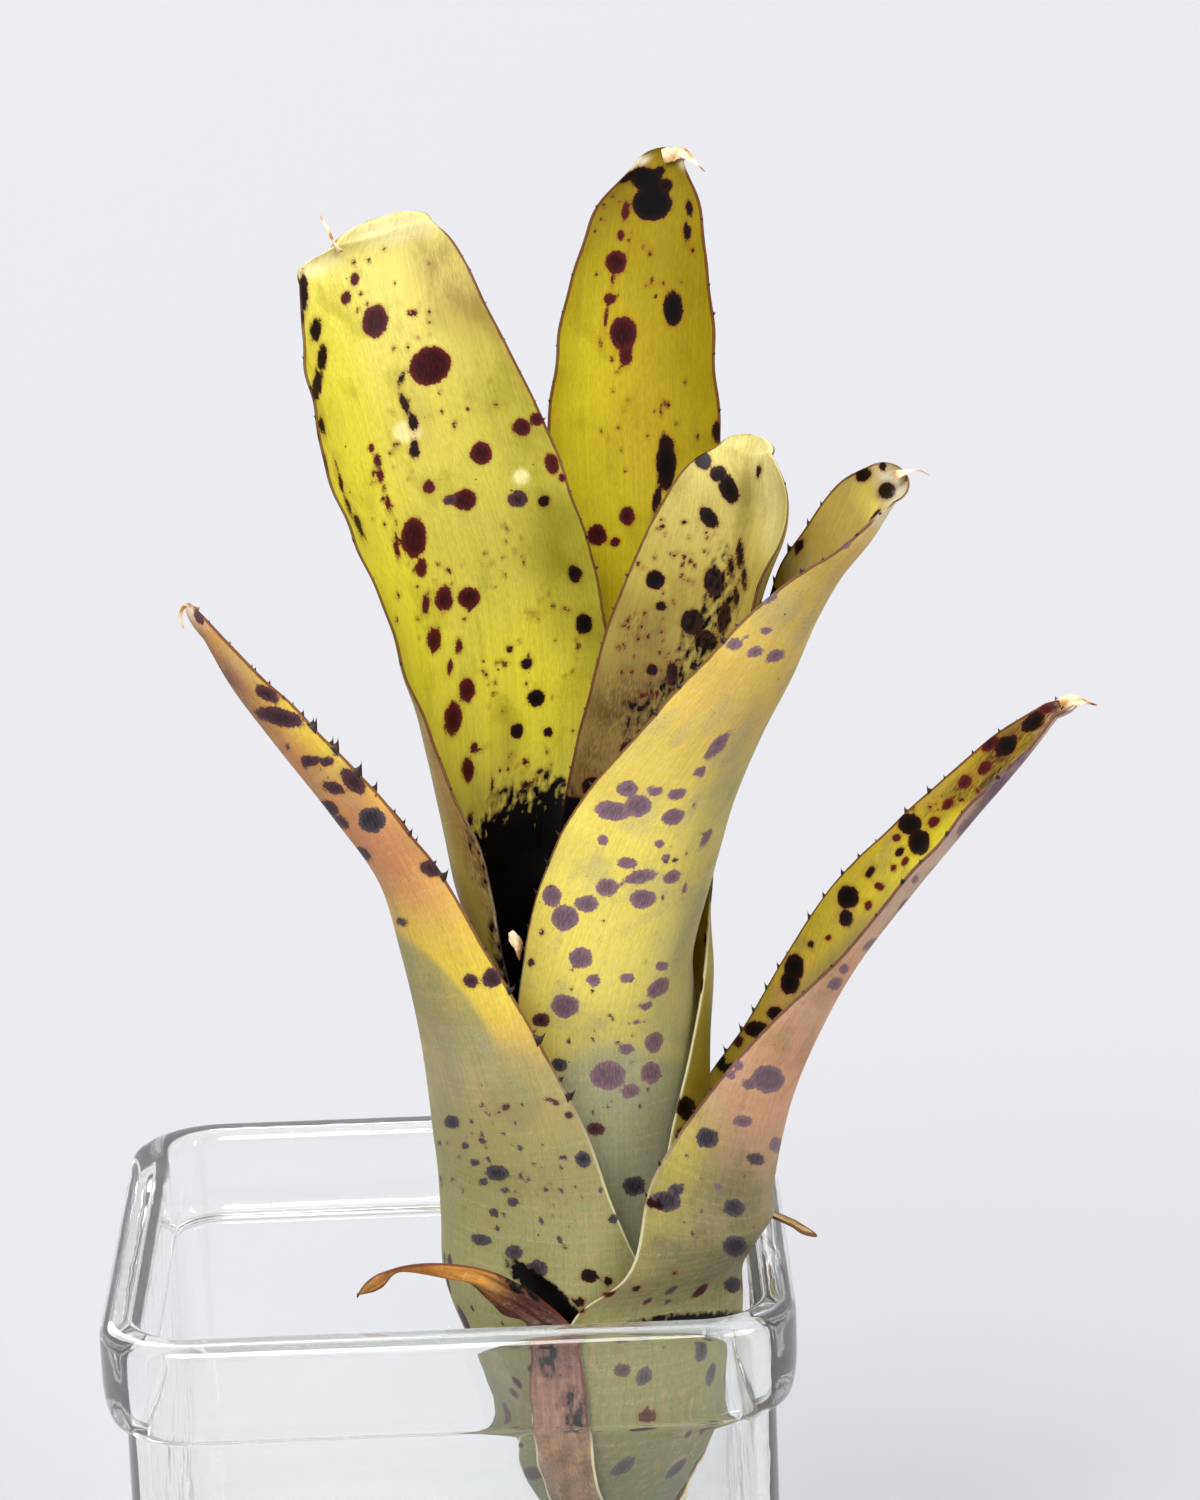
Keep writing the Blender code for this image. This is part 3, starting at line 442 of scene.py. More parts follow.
# Clusters of tiny dark specks: middle, half width and half height of the patch, how many
leafSpecks = {
    ("leafLeftTall", "inner"): {"specks": [(430, 600, 55, 45, 30), (548, 648, 32, 60, 26),
        (392, 500, 25, 70, 16), (500, 560, 60, 40, 16), (385, 300, 60, 60, 16), (535, 765, 30, 30, 16),
        (500, 720, 34, 60, 18), (440, 400, 60, 40, 12)]},
    ("leafBackTall", "inner"): {"specks": [(640, 400, 46, 110, 22), (612, 250, 24, 60, 14),
        (670, 270, 30, 60, 10)]},
    ("leafInnerRight", "inner"): {"specks": [(650, 560, 50, 60, 22), (645, 660, 36, 50, 34),
        (700, 560, 30, 40, 18)]},
    ("leafFront", "outer"): {"specks": [(600, 940, 60, 120, 26), (690, 860, 36, 60, 14),
        (630, 1120, 50, 60, 12)]},
    ("leafLowLeft", "outer"): {"specks": [(500, 1160, 66, 60, 46), (310, 760, 50, 16, 12),
        (560, 1220, 40, 40, 12)]},
    ("leafLowRight", "outer"): {"specks": [(720, 1190, 50, 60, 16)]},
    ("leafLowRight", "inner"): {"specks": [(950, 800, 60, 12, 26)]},
}


# Leaf surfaces
leafMake = {
    "rows": 340,
    "tipRows": 14,
    "tipReach": 0.985,  # of the way to the tip, where the last row stands
    "columns": 80,
    "columnEase": 0.72,  # how much closer the columns stand at the margins
    "thickness": 0.70,
    "marginThickness": 0.36,
    "thinFor": 3.0,  # mm in from the margin
    "marginRounding": 0.12,
    "lipReach": 2.6,
    "lipRounding": 1.6,
    "waveLength": 17.0,
    "waveFrom": 45.0,
    "waveRise": 30.0,
    "secondWave": 0.6,
    "secondPaces": (1.7, 1.6),  # on the left and on the right
    "creases": ((0.035, 0.34, 1.0), (0.06, -0.61, 0.5), (0.13, 0.17, 0.6)),  # along, across, depth
}


def leafStations(shape):
    stations = []
    for height, radius, spread, *stand in shape["sheath"]:
        centreX, centreY, facing = stand or shape["stand"]
        ends = [radians(facing + spread), radians(facing - spread)]
        margins = [np.array((centreX + radius * cos(a), centreY + radius * sin(a), height)) for a in ends]
        bulge = np.array((cos(radians(facing)), sin(radians(facing)), 0.0))
        stations.append((*margins, radius * (1 - cos(radians(spread))), bulge))
    blade = [(np.array(one, float), np.array(other, float), depth) for one, other, depth in shape["blade"]]
    middles = [(one + other) / 2 for one, other, depth in blade]
    for k, (one, other, depth) in enumerate(blade):
        along = middles[min(k + 1, len(blade) - 1)] - middles[max(k - 1, 0)]
        bulge = np.cross(along, other - one)
        stations.append((one, other, depth, bulge / np.linalg.norm(bulge)))
    steps = np.diff([(s[0] + s[1]) / 2 for s in stations], axis=0)
    lengths = np.maximum(2.0, np.abs(steps[:, 2]) + np.hypot(steps[:, 0], steps[:, 1]) / 2)
    distances = np.concatenate([[0.0], np.cumsum(lengths)])
    columns = [np.array([s[k] for s in stations], float).reshape(len(stations), -1) for k in range(4)]
    return columns, distances


def alongLeaf(values, distances, places):
    # Cubic curve through the stations' values, with slopes from the neighbouring stations
    spans = np.diff(distances)[:, None]
    rises = np.diff(values, axis=0) / spans
    inner = (rises[:-1] * spans[1:] + rises[1:] * spans[:-1]) / (spans[:-1] + spans[1:])
    slopes = np.concatenate([rises[:1], inner, rises[-1:]])
    k = np.clip(np.searchsorted(distances, places, side="right") - 1, 0, len(spans) - 1)
    t = ((places - distances[k])[:, None]) / spans[k]
    return (values[k] * (2 * t**3 - 3 * t**2 + 1) + slopes[k] * spans[k] * (t**3 - 2 * t**2 + t)
            + values[k + 1] * (3 * t**2 - 2 * t**3) + slopes[k + 1] * spans[k] * (t**3 - t**2))


def unit(vectors):
    return vectors / np.linalg.norm(vectors, axis=-1, keepdims=True)


def leafGrid(shape, make, draw):
    # Points of the leaf's middle surface, its outward directions and where each point lies
    columns, distances = leafStations(shape)
    length = distances[-1]
    places = np.linspace(0, length, make["rows"])
    one, other, depth, bulge = (alongLeaf(c, distances, places) for c in columns)
    middle = (one + other) / 2
    width = unit(other - one)
    half = np.linalg.norm(other - one, axis=1) / 2
    depth = np.maximum(depth[:, 0], 0.05)

    # Beyond the last station the outline closes on the tip in a rounded end
    toTip = np.array(shape["tip"], float) - middle[-1]
    share = np.linspace(0, make["tipReach"], make["tipRows"] + 1)[1:]
    narrow = np.sqrt(1 - share**2)
    middle = np.concatenate([middle, middle[-1] + toTip * share[:, None]])
    width, bulge = (np.concatenate([v, np.repeat(v[-1:], len(share), axis=0)]) for v in (width, bulge))
    half = np.concatenate([half, half[-1] * narrow])
    depth = np.concatenate([depth, np.maximum(depth[-1] * narrow, 0.02)])
    places = np.concatenate([places, length + np.linalg.norm(toTip) * share])

    bulge = unit(bulge - width * np.sum(bulge * width, axis=1, keepdims=True))
    radius = (half**2 + depth**2) / (2 * depth)
    spread = np.arctan2(half, radius - depth)
    reach = pi / 2 * make["columnEase"]
    across = (np.sin(np.linspace(-1, 1, make["columns"] + 1) * reach) / sin(reach))[None]
    angle = across * spread[:, None]
    sine, cosine = np.sin(angle)[..., None], np.cos(angle)[..., None]
    points = (middle[:, None] + width[:, None] * radius[:, None, None] * sine
              + bulge[:, None] * (depth[:, None, None] - radius[:, None, None] * (1 - cosine)))
    outward = bulge[:, None] * cosine + width[:, None] * sine
    edgeSine, edgeCosine = np.sin(spread)[:, None], np.cos(spread)[:, None]

    # Gentle waves, strongest at the margins and only above the tube
    risen = np.clip((points[:, :, 2] - make["waveFrom"]) / make["waveRise"], 0, 1)
    phase = [draw.uniform(0, 2 * pi) for k in range(4)]
    turn = 2 * pi * places[:, None] / make["waveLength"]
    left, right = (
        np.sin(turn + phase[k]) + make["secondWave"] * np.sin(turn * pace + phase[k + 1])
        for k, pace in zip((0, 2), make["secondPaces"]))
    wave = np.where(across < 0, left, right) * np.abs(across) ** 3
    points = points + outward * (wave * risen * shape["wave"])[..., None]
    arc = across * (spread * radius)[:, None]
    if "crumple" in shape:  # a dead leaf shrivels into creases, mostly lengthwise
        for along, sideways, share in make["creases"]:
            fold = np.sin(2 * pi * (places[:, None] * along + arc * sideways) + draw.uniform(0, 2 * pi))
            points = points + outward * (fold * share * shape["crumple"])[..., None]
    return {
        "points": points,
        "outward": outward,
        "offMargin": {side: width * side * edgeCosine - bulge * edgeSine for side in (-1, 1)},
        "arc": arc,
        "toMargin": (1 - np.abs(across)) * (spread * radius)[:, None],
        "place": np.broadcast_to(places[:, None], arc.shape),
        "length": places[-1],
    }


def leafMesh(name, shape, make, grid):
    # Outer face, inner face and a rounded edge between them, closed at the base and the tip
    rows, columns = grid["arc"].shape
    thin = make["marginThickness"]
    risen = np.clip(grid["toMargin"] / make["thinFor"], 0, 1) ** 0.6
    thickness = thin + (make["thickness"] - thin) * risen
    toTip = grid["length"] - grid["place"]
    rounding = np.clip(np.minimum(grid["toMargin"], toTip) / make["lipRounding"], 0, 1)
    thickness += shape["lip"] * np.exp(-(toTip / make["lipReach"]) ** 2) * np.sqrt(rounding * (2 - rounding))
    offset = grid["outward"] * (thickness / 2)[..., None]
    faces = [grid["points"] + offset, grid["points"] - offset]
    edges = [grid["points"][:, k] + grid["offMargin"][side] * make["marginRounding"]
             for side, k in ((-1, 0), (1, -1))]
    tip = np.array(shape["tip"], float)[None]
    points = np.concatenate([*(face.reshape(-1, 3) for face in faces), *edges, tip])

    size = rows * columns
    outer = np.arange(size).reshape(rows, columns)
    inner = outer + size
    left = 2 * size + np.arange(rows)
    right = left + rows
    corners = [np.stack([f[:-1, :-1], f[:-1, 1:], f[1:, 1:], f[1:, :-1]], axis=-1).reshape(-1, 4)
               for f in (outer, inner)]
    corners += [np.stack([f[:-1, column], f[1:, column], edge[1:], edge[:-1]], axis=-1)
                for edge, column in ((left, 0), (right, -1)) for f in (outer, inner)]
    corners.append(np.stack([outer[0, :-1], outer[0, 1:], inner[0, 1:], inner[0, :-1]], axis=-1))
    faces = np.concatenate(corners).tolist()
    faces += [[int(e[0]), int(outer[0, k]), int(inner[0, k])] for e, k in ((left, 0), (right, -1))]
    endLoop = np.concatenate([left[-1:], outer[-1], right[-1:], inner[-1][::-1]]).tolist()
    faces += [[a, b, len(points) - 1] for a, b in zip(endLoop, endLoop[1:] + endLoop[:1])]
    return meshPiece(name, points, faces)


def perVertex(values):
    # Spreads a value of the grid over both faces, the two margins and the tip
    flat = values.ravel()
    return np.concatenate([flat, flat, values[:, 0], values[:, -1], values[-1:, values.shape[1] // 2]])


def setAttribute(mesh, name, values, kind="FLOAT"):
    layer = mesh.attributes.new(name, kind, "POINT")
    field = "vector" if kind == "FLOAT_VECTOR" else "value"
    layer.data.foreach_set(field, np.ascontiguousarray(values, np.float32).ravel())


leafPieces, leafGrids = {}, {}
for number, (name, shape) in enumerate(leafShapes.items()):
    make = {**leafMake, **shape.get("make", {})}
    leafGrids[name] = leafGrid(shape, make, Random(100 + number))
    leafPieces[name] = leafMesh(name, shape, make, leafGrids[name])
print("leaf surfaces made")


# Spots and tints go onto the leaves as attributes of their points
markSet = {
    "farFromSpot": 6.0,  # mm
    "pixel": 0.1445,  # mm of leaf that one pixel of the photograph covers
    "leastFacing": 0.02,  # cosine below which a face is too steep to carry a mark
    "missedBy": 25,  # pixels from the leaf past which a mark is left out
    "nearby": 8.0,  # pixels within which the nearest point to the camera is the mark's middle
    "reachShare": 3.52,  # of a mark's half size that it is worked out for, and so many mm more
    "reachMargin": 4.8,
    "speckSize": (0.9, 2.1),  # pixels
    "speckTone": {"inner": 0.3, "outer": 0.7},
    "unseenSpotGap": 4.6,  # mm between random spots where the photograph shows nothing
    "unseenSpotSize": (0.45, 2.3),
    "unseenSpotTones": {"outer": (0.3, 0.75, 0.63), "inner": (0.0, 0.3, 0.5)},
    "unseenSpotsAbove": 14,  # mm along the leaf
    "unseenSpotShare": 0.16,
    "hiddenBelow": 1.0,  # mm over the rim, where the glass starts
    "faceGap": 40,  # between the patterns of the outer and the inner face
    "seed": 7,
}
toneOf = {"black": 0.0, "maroon": 0.5, "plum": 0.63, "slate": 0.75, "grey": 1.0}


def meshArrays(piece):
    points, normals = (np.empty(len(piece.data.vertices) * 3, np.float32) for k in range(2))
    piece.data.vertices.foreach_get("co", points)
    piece.data.vertex_normals.foreach_get("vector", normals)
    points = points.reshape(-1, 3).astype(float) / mm - (0, 0, jarHeight)
    return points, normals.reshape(-1, 3).astype(float)


def smoothStep(low, high, values):
    t = np.clip((values - low) / (high - low), 0, 1)
    return t * t * (3 - 2 * t)


allPoints, allFaces = [], []
for piece in leafPieces.values():
    start = len(allPoints)
    allPoints += [v.co / mm - Vector((0, 0, jarHeight)) for v in piece.data.vertices]
    allFaces += [[start + k for k in face.vertices] for face in piece.data.polygons]
leafTree = BVHTree.FromPolygons(allPoints, allFaces)


def seenByCamera(point, normal):
    # True where the photograph shows this point of a leaf, above the glass
    if point[2] < markSet["hiddenBelow"] or np.dot(normal, cameraPlace - point) <= 0:
        return False
    start = Vector(cameraPlace)
    way = Vector(point) - start
    return leafTree.ray_cast(start, way.normalized(), way.length - 0.6)[0] is None


def pixelsAway(pixels, mark):
    # Distance of each pixel from a mark's middle: 1 on its outline
    x, y, halfWidth, halfHeight, turn = (*mark, 0)[:5]
    dx, dy = pixels[:, 0] - x, pixels[:, 1] - y
    c, s = cos(radians(turn)), sin(radians(turn))
    return np.hypot((dx * c + dy * s) / halfWidth, (dy * c - dx * s) / halfHeight)


def marksOf(table, name):
    return [(face, kind, mark) for (leaf, face), groups in table.items() if leaf == name
            for kind, marks in groups.items() for mark in marks]


def paintLeaf(name):
    piece, grid = leafPieces[name], leafGrids[name]
    points, normals = meshArrays(piece)
    pixels, depths = toPhoto(points)
    facing = np.sum(normals * unit(cameraPlace - points), axis=1)
    rows, columns = grid["arc"].shape
    size = rows * columns
    members = {"outer": np.arange(size), "inner": np.arange(size, 2 * size)}
    spot = np.full(len(points), markSet["farFromSpot"])
    tone = np.full(len(points), 0.5)

    def placesNear(face, mark):
        # The vertices of one face that lie near the surface point that the mark's pixel shows
        ids = members[face]
        away = np.hypot(pixels[ids, 0] - mark[0], pixels[ids, 1] - mark[1])
        away[facing[ids] <= markSet["leastFacing"]] = np.inf
        if away.min() > markSet["missedBy"]:
            return ids[:0]
        near = ids[away < max(markSet["nearby"], away.min() + 2.0)]
        centre = points[near[np.argmin(depths[near])]]
        reach = max(mark[2:4]) * markSet["pixel"] * markSet["reachShare"] + markSet["reachMargin"]
        return ids[np.linalg.norm(points[ids] - centre, axis=1) < reach]

    def addSpot(where, distance, toneValue):
        closer = distance < spot[where]
        spot[where[closer]] = distance[closer]
        tone[where[closer]] = toneValue

    def addMark(face, mark, toneValue):
        where = placesNear(face, mark)
        smaller = min(mark[2:4]) * markSet["pixel"]
        addSpot(where, (pixelsAway(pixels[where], mark) - 1) * smaller, toneValue)

    for face, kind, mark in marksOf(leafMarks, name):
        addMark(face, mark, toneOf[kind])

    draw = Random(markSet["seed"] + sum(map(ord, name)))
    for face, kind, (x, y, halfWidth, halfHeight, count) in marksOf(leafSpecks, name):
        for k in range(count):
            turn, out = draw.uniform(0, 2 * pi), draw.random() ** 0.5
            wide = draw.uniform(*markSet["speckSize"])
            addMark(face, (x + halfWidth * out * cos(turn), y + halfHeight * out * sin(turn),
                           wide, wide * draw.uniform(1.0, 1.6)), markSet["speckTone"][face])

    # Spots of the same kind where the photograph doesn't look
    arc, place = perVertex(grid["arc"]), perVertex(grid["place"])
    for face, ids in members.items():
        share = leafShapes[name].get("spotShare", markSet["unseenSpotShare"])
        tries = share * grid["length"] * np.ptp(grid["arc"])
        for attempt in range(int(tries / markSet["unseenSpotGap"])):
            centre = ids[draw.randrange(size)]
            radius = draw.uniform(*markSet["unseenSpotSize"]) * draw.uniform(0.5, 1.0)
            stretch = draw.uniform(1.0, 1.7)
            toneValue = draw.choice(markSet["unseenSpotTones"][face])
            if spot[centre] < radius + 1.0 or place[centre] < markSet["unseenSpotsAbove"]:
                continue
            if not seenByCamera(points[centre], normals[centre]):
                along = (place[ids] - place[centre]) / stretch
                addSpot(ids, np.hypot(arc[ids] - arc[centre], along) - radius, toneValue)

    tints = {kind: np.zeros(len(points)) for kind in tintKinds}
    for face, kind, mark in marksOf(leafTints, name):
        where = placesNear(face, mark)
        soft, strength = mark[5:]
        share = strength * smoothStep(1 + soft, 1 - soft, pixelsAway(pixels[where], mark))
        tints[kind][where] = np.maximum(tints[kind][where], share)
    for values in (spot, tone, *tints.values()):
        face, back = values[:2 * size].reshape(2, rows, columns)
        joined = [np.minimum(face[:, k], back[:, k]) if values is spot else (face[:, k] + back[:, k]) / 2
                  for k in (0, -1)]
        values[2 * size:] = np.concatenate([*joined, face[-1:, columns // 2]])

    outerFace = np.concatenate([np.ones(size), np.zeros(size), np.full(len(points) - 2 * size, 0.5)])
    attributes = {
        "spot": spot,
        "spotTone": tone,
        "outerFace": outerFace,
        "alongShare": place / grid["length"],
        "toMargin": perVertex(grid["toMargin"]),
        **tints,
    }
    for kind, values in attributes.items():
        setAttribute(piece.data, kind, values)
    leafPlace = np.stack([arc, place, outerFace * markSet["faceGap"]], axis=1)
    setAttribute(piece.data, "leafPlace", leafPlace, "FLOAT_VECTOR")


for name in leafShapes:
    paintLeaf(name)
print("leaf marks placed")


# Living bromeliad leaf: firm, waxy and thin enough to glow, with fine lengthwise veins, grey
# scurf on the outer face, freckles, and dark spots with granular, redder edges. The colours of
# each face run from the base to the tip. Each look also colours its tints: painted light, a
# flush, painted shadow, a stain and pale tissue that is partly painted light.
leafLooks = {
    "leafLowRight": {
        "inner": {0: "8d8a45", 0.35: "c9b64a", 0.7: "c4ae34", 0.95: "a88c2a", 1: "dcc8a0"},
        "outer": {0: "666a46", 0.3: "8a8654", 0.45: "bc9c74", 0.7: "cfae90", 0.95: "c0a8a0", 1: "e6c8ad"},
        "flush": "dd9f78", "glow": "dcd02e", "shade": "787650", "stain": "3a1a14", "pale": "dcccc4",
        "freckleChance": 0.78, "veins": 0.5, "roughness": 0.42,
    },
    "leafLowLeft": {
        "inner": {0: "8d8a45", 0.4: "c9b64a", 0.8: "d0a844", 1: "d8c09a"},
        "outer": {0: "6e7250", 0.35: "96945e", 0.5: "ccac60", 0.8: "dca456", 0.97: "b89048", 1: "e0c8ac"},
        "flush": "d68668", "glow": "e6d048", "shade": "9f9c66", "stain": "7c5252", "pale": "dcd8cc",
        "freckleChance": 0.78, "veins": 0.5, "roughness": 0.42,
    },
    "leafBackTall": {
        "inner": {0: "8a8a40", 0.4: "d2be4a", 0.6: "ceb834", 0.85: "bca624", 1: "94801e"},
        "outer": {0: "8a8648", 0.35: "b0a444", 0.6: "b4a63c", 0.9: "a08c28", 1: "8e7a30"},
        "flush": "c08a3c", "glow": "d6c822", "shade": "98840c", "stain": "5c4a20", "pale": "f4e6c4",
        "freckleChance": 0.84, "veins": 0.5, "roughness": 0.42,
    },
    "leafFront": {
        "inner": {0: "8a8a44", 0.5: "b8ae3c", 0.8: "857418", 1: "c8b060"},
        "outer": {0: "767a58", 0.3: "98976e", 0.45: "ddcf6a", 0.7: "dcc85e", 0.93: "d2b85e", 1: "e8d8b8"},
        "flush": "dcb05c", "glow": "ecdc66", "shade": "989a7c", "stain": "6a4a38", "pale": "d8d4c0",
        "freckleChance": 0.8, "veins": 0.45, "roughness": 0.42,
    },
    "leafLeftTall": {
        "inner": {0: "7c7c3c", 0.45: "c2b848", 0.65: "c8be4a", 0.85: "cec258", 1: "ece084"},
        "outer": {0: "6d7048", 0.4: "b0a252", 0.7: "b8ac50", 1: "d8cc84"},
        "flush": "ae7a52", "glow": "e4da34", "shade": "8e8c14", "stain": "6e5038", "pale": "f8eeb0",
        "freckleChance": 0.74, "veins": 0.5, "roughness": 0.4,
    },
    "leafInnerRight": {
        "inner": {0: "5a4c2c", 0.45: "6c5430", 0.62: "8e7840", 0.85: "b8a850", 1: "dace7c"},
        "outer": {0: "6d7048", 0.4: "a09850", 0.8: "b8ac60", 1: "e0d49a"},
        "flush": "9c744c", "glow": "d8cc6c", "shade": "867830", "stain": "5a4028", "pale": "ece29c",
        "freckleChance": 0.82, "veins": 0.5, "roughness": 0.42,
    },
    "deadLeafLeft": {
        "inner": {0: "6e5436", 0.5: "8a6238", 0.75: "a8702c", 1: "c08c44"},
        "outer": {0: "6e5c40", 0.4: "a07c60", 0.6: "8a6258", 0.74: "5e3430", 0.82: "c88c3c", 0.92: "9a5c20",
            1: "b88a4c"},
        "flush": "c8862c", "glow": "e0b060", "shade": "4a3020", "stain": "2e1a12", "pale": "e4d4a8",
        "freckleChance": 0.45, "veins": 1, "roughness": 0.55,
    },
    "deadLeafRight": {
        "inner": {0: "a07c48", 0.3: "f0b060", 1: "f8dca8"},
        "outer": {0: "a07c48", 0.3: "f0b060", 1: "f8dca8"},
        "flush": "e8a048", "glow": "e0b060", "shade": "e0a050", "stain": "c88440", "pale": "f4e8cc",
        "freckleChance": 1, "veins": 1, "roughness": 0.6,
    },
}
leafCommon = {
    "core": {0: "030101", 0.5: "2a090e", 0.75: "2c282c", 1: "64525c"},  # by the spot's tone
    "rim": {0: "2a100a", 0.5: "5e1a19", 0.75: "544a50", 1: "86696f"},
    "veinShade": {0.35: "cfcdbc", 0.6: "ffffff"},
    "margin": {0.38: "d6cfa6", 0.52: "5c2a1c"},  # pale on the sheath, brown above
    # The black of painted shadow in the cup and under the leaves at the base, partly real dark stain, then
    # the softer brown painted shade around it
    "soot": "020101",
    "shadowAndStainHaze": "38221e",
    "halo": "8a3c22",
    "freckle": "3a2412",
    "scurf": "e8e6da",
    "frecklePitch": 2.3,  # mm
    "freckleStrength": 0.75,
    "reliefHeight": 0.12,  # mm
    "reliefStrength": 0.25,
    "ior": 1.45,
    "specular": 0.22,
    "translucency": 0.30,
}
# How often each pattern repeats per mm across the leaf, along it and from face to face, then its
# detail and distortion. Veins stand 0.45 mm apart, scurf and the edges of spots have 0.3 mm grains.
leafPatterns = {
    "veins": ((1 / 0.45, 0.05, 1.0), 2.0, 0.0),
    "bands": ((0.05, 1.1, 1.0), 2.0, 0.0),
    "mottle": ((0.16, 0.10, 0.16), 3.0, 0.6),
    "blotch": ((0.9, 0.5, 0.9), 3.0, 0.0),
    "fibre": ((1 / 0.22, 1 / 1.3, 1.0), 1.0, 0.0),
    "grain": ((1 / 0.30, 1 / 0.30, 1 / 0.30), 2.0, 0.0),
}
# What the skin works out from the patterns and the leaf's attributes, each under a name. A row
# with a word in capitals is that operation on the values after it. Any other row follows a value
# between two limits and softly gives what lies between the last two numbers.
leafSteps = (
    # How strong each layer is
    ("fibrous", "MULTIPLY", "fibre", 0.55),
    ("mingled", "MULTIPLY_ADD", "mottle", 0.45, "fibrous"),
    ("uneven", "mottle", 0.35, 0.65, 0.75, 1.1),
    ("cloud", "mottle", 0.50, 0.72, 0, 0.40),
    ("band", "bands", 0.42, 0.70, 0, 0.12),
    ("dust", "grain", 0.45, 0.62, 0, 1),
    ("speck", "grain", 0.58, 0.72, 0, 0.45),
    ("dusky", "mottle", 0.44, 0.66, 0.10, 1),
    ("worn", "blotch", 0.45, 0.78, 0, 0.25),
    ("stained", "mingled", 0.36, 0.62, 0.10, 1),
    # How far the painted black shadow and dark stain reach
    ("sootReach", "soot", 0.02, 0.20, 0, 1),
    # Away from pale tissue and the painted light on curled lips
    ("notPale", "pale", 0, 0.8, 1, 0),
    # Freckles: round dots in some of the cells, each of its own size
    ("luck", "SUBTRACT", "cellColour", "freckleChance"),
    ("dotSize", "MULTIPLY", "luck", 0.5),
    ("dot", "LESS_THAN", "cellDistance", "dotSize"),
    # Spots: the distance from their outline in mm, roughened by grains and blotches
    ("level", "SUBTRACT", "spot", 0.675),
    ("blotched", "MULTIPLY_ADD", "blotch", 0.80, "level"),
    ("distance", "MULTIPLY_ADD", "grain", 0.55, "blotched"),
    ("inSpot", "distance", 0.12, -0.14, 0, 1),
    ("near", "distance", 0.50, 0, 0, 0.30),
    ("dark", "spotTone", 0.9, 0.4, 0, 1),
    ("edging", "spot", -1, 0, 0, 0.75),
    ("streaks", "fibre", 0.40, 0.62, -0.15, 0.55),
    ("rimShare", "MULTIPLY_ADD", "streaks", "spotTone", "edging"),
    # Painted shadow and dark stain: a ragged black in the shaded cup and under the leaves at the base,
    # partly real dark staining, in a softer brown painted shade
    ("sunk", "SUBTRACT", "soot", 1.05),
    ("ragged", "MULTIPLY_ADD", "blotch", 2.1, "sunk"),
    ("sooty", "ragged", 0.36, 0.50, 0, 1),
    ("haze", "ragged", -0.05, 0.45, 0, 0.75),
    # The margin: a thin worn line
    ("frayed", "MULTIPLY_ADD", "blotch", -0.30, "toMargin"),
    ("onMargin", "frayed", 0, 0.20, 0.85, 0),
    # Veins, relief and gloss
    ("ribbed", "MULTIPLY_ADD", "veins", 0.45, "fibrous"),
    ("scurfy", "MULTIPLY", "outerFace", 0.5),
    ("grainRelief", "MULTIPLY", "grain", "scurfy"),
    ("relief", "MULTIPLY_ADD", "veins", 0.8, "grainRelief"),
    ("rubbed", "mottle", 0.3, 0.7, -0.06, 0.1),
    ("dull", "ADD", "rubbed", "roughness"),
    ("gloss", "MULTIPLY_ADD", "pale", -0.16, "dull"),
)


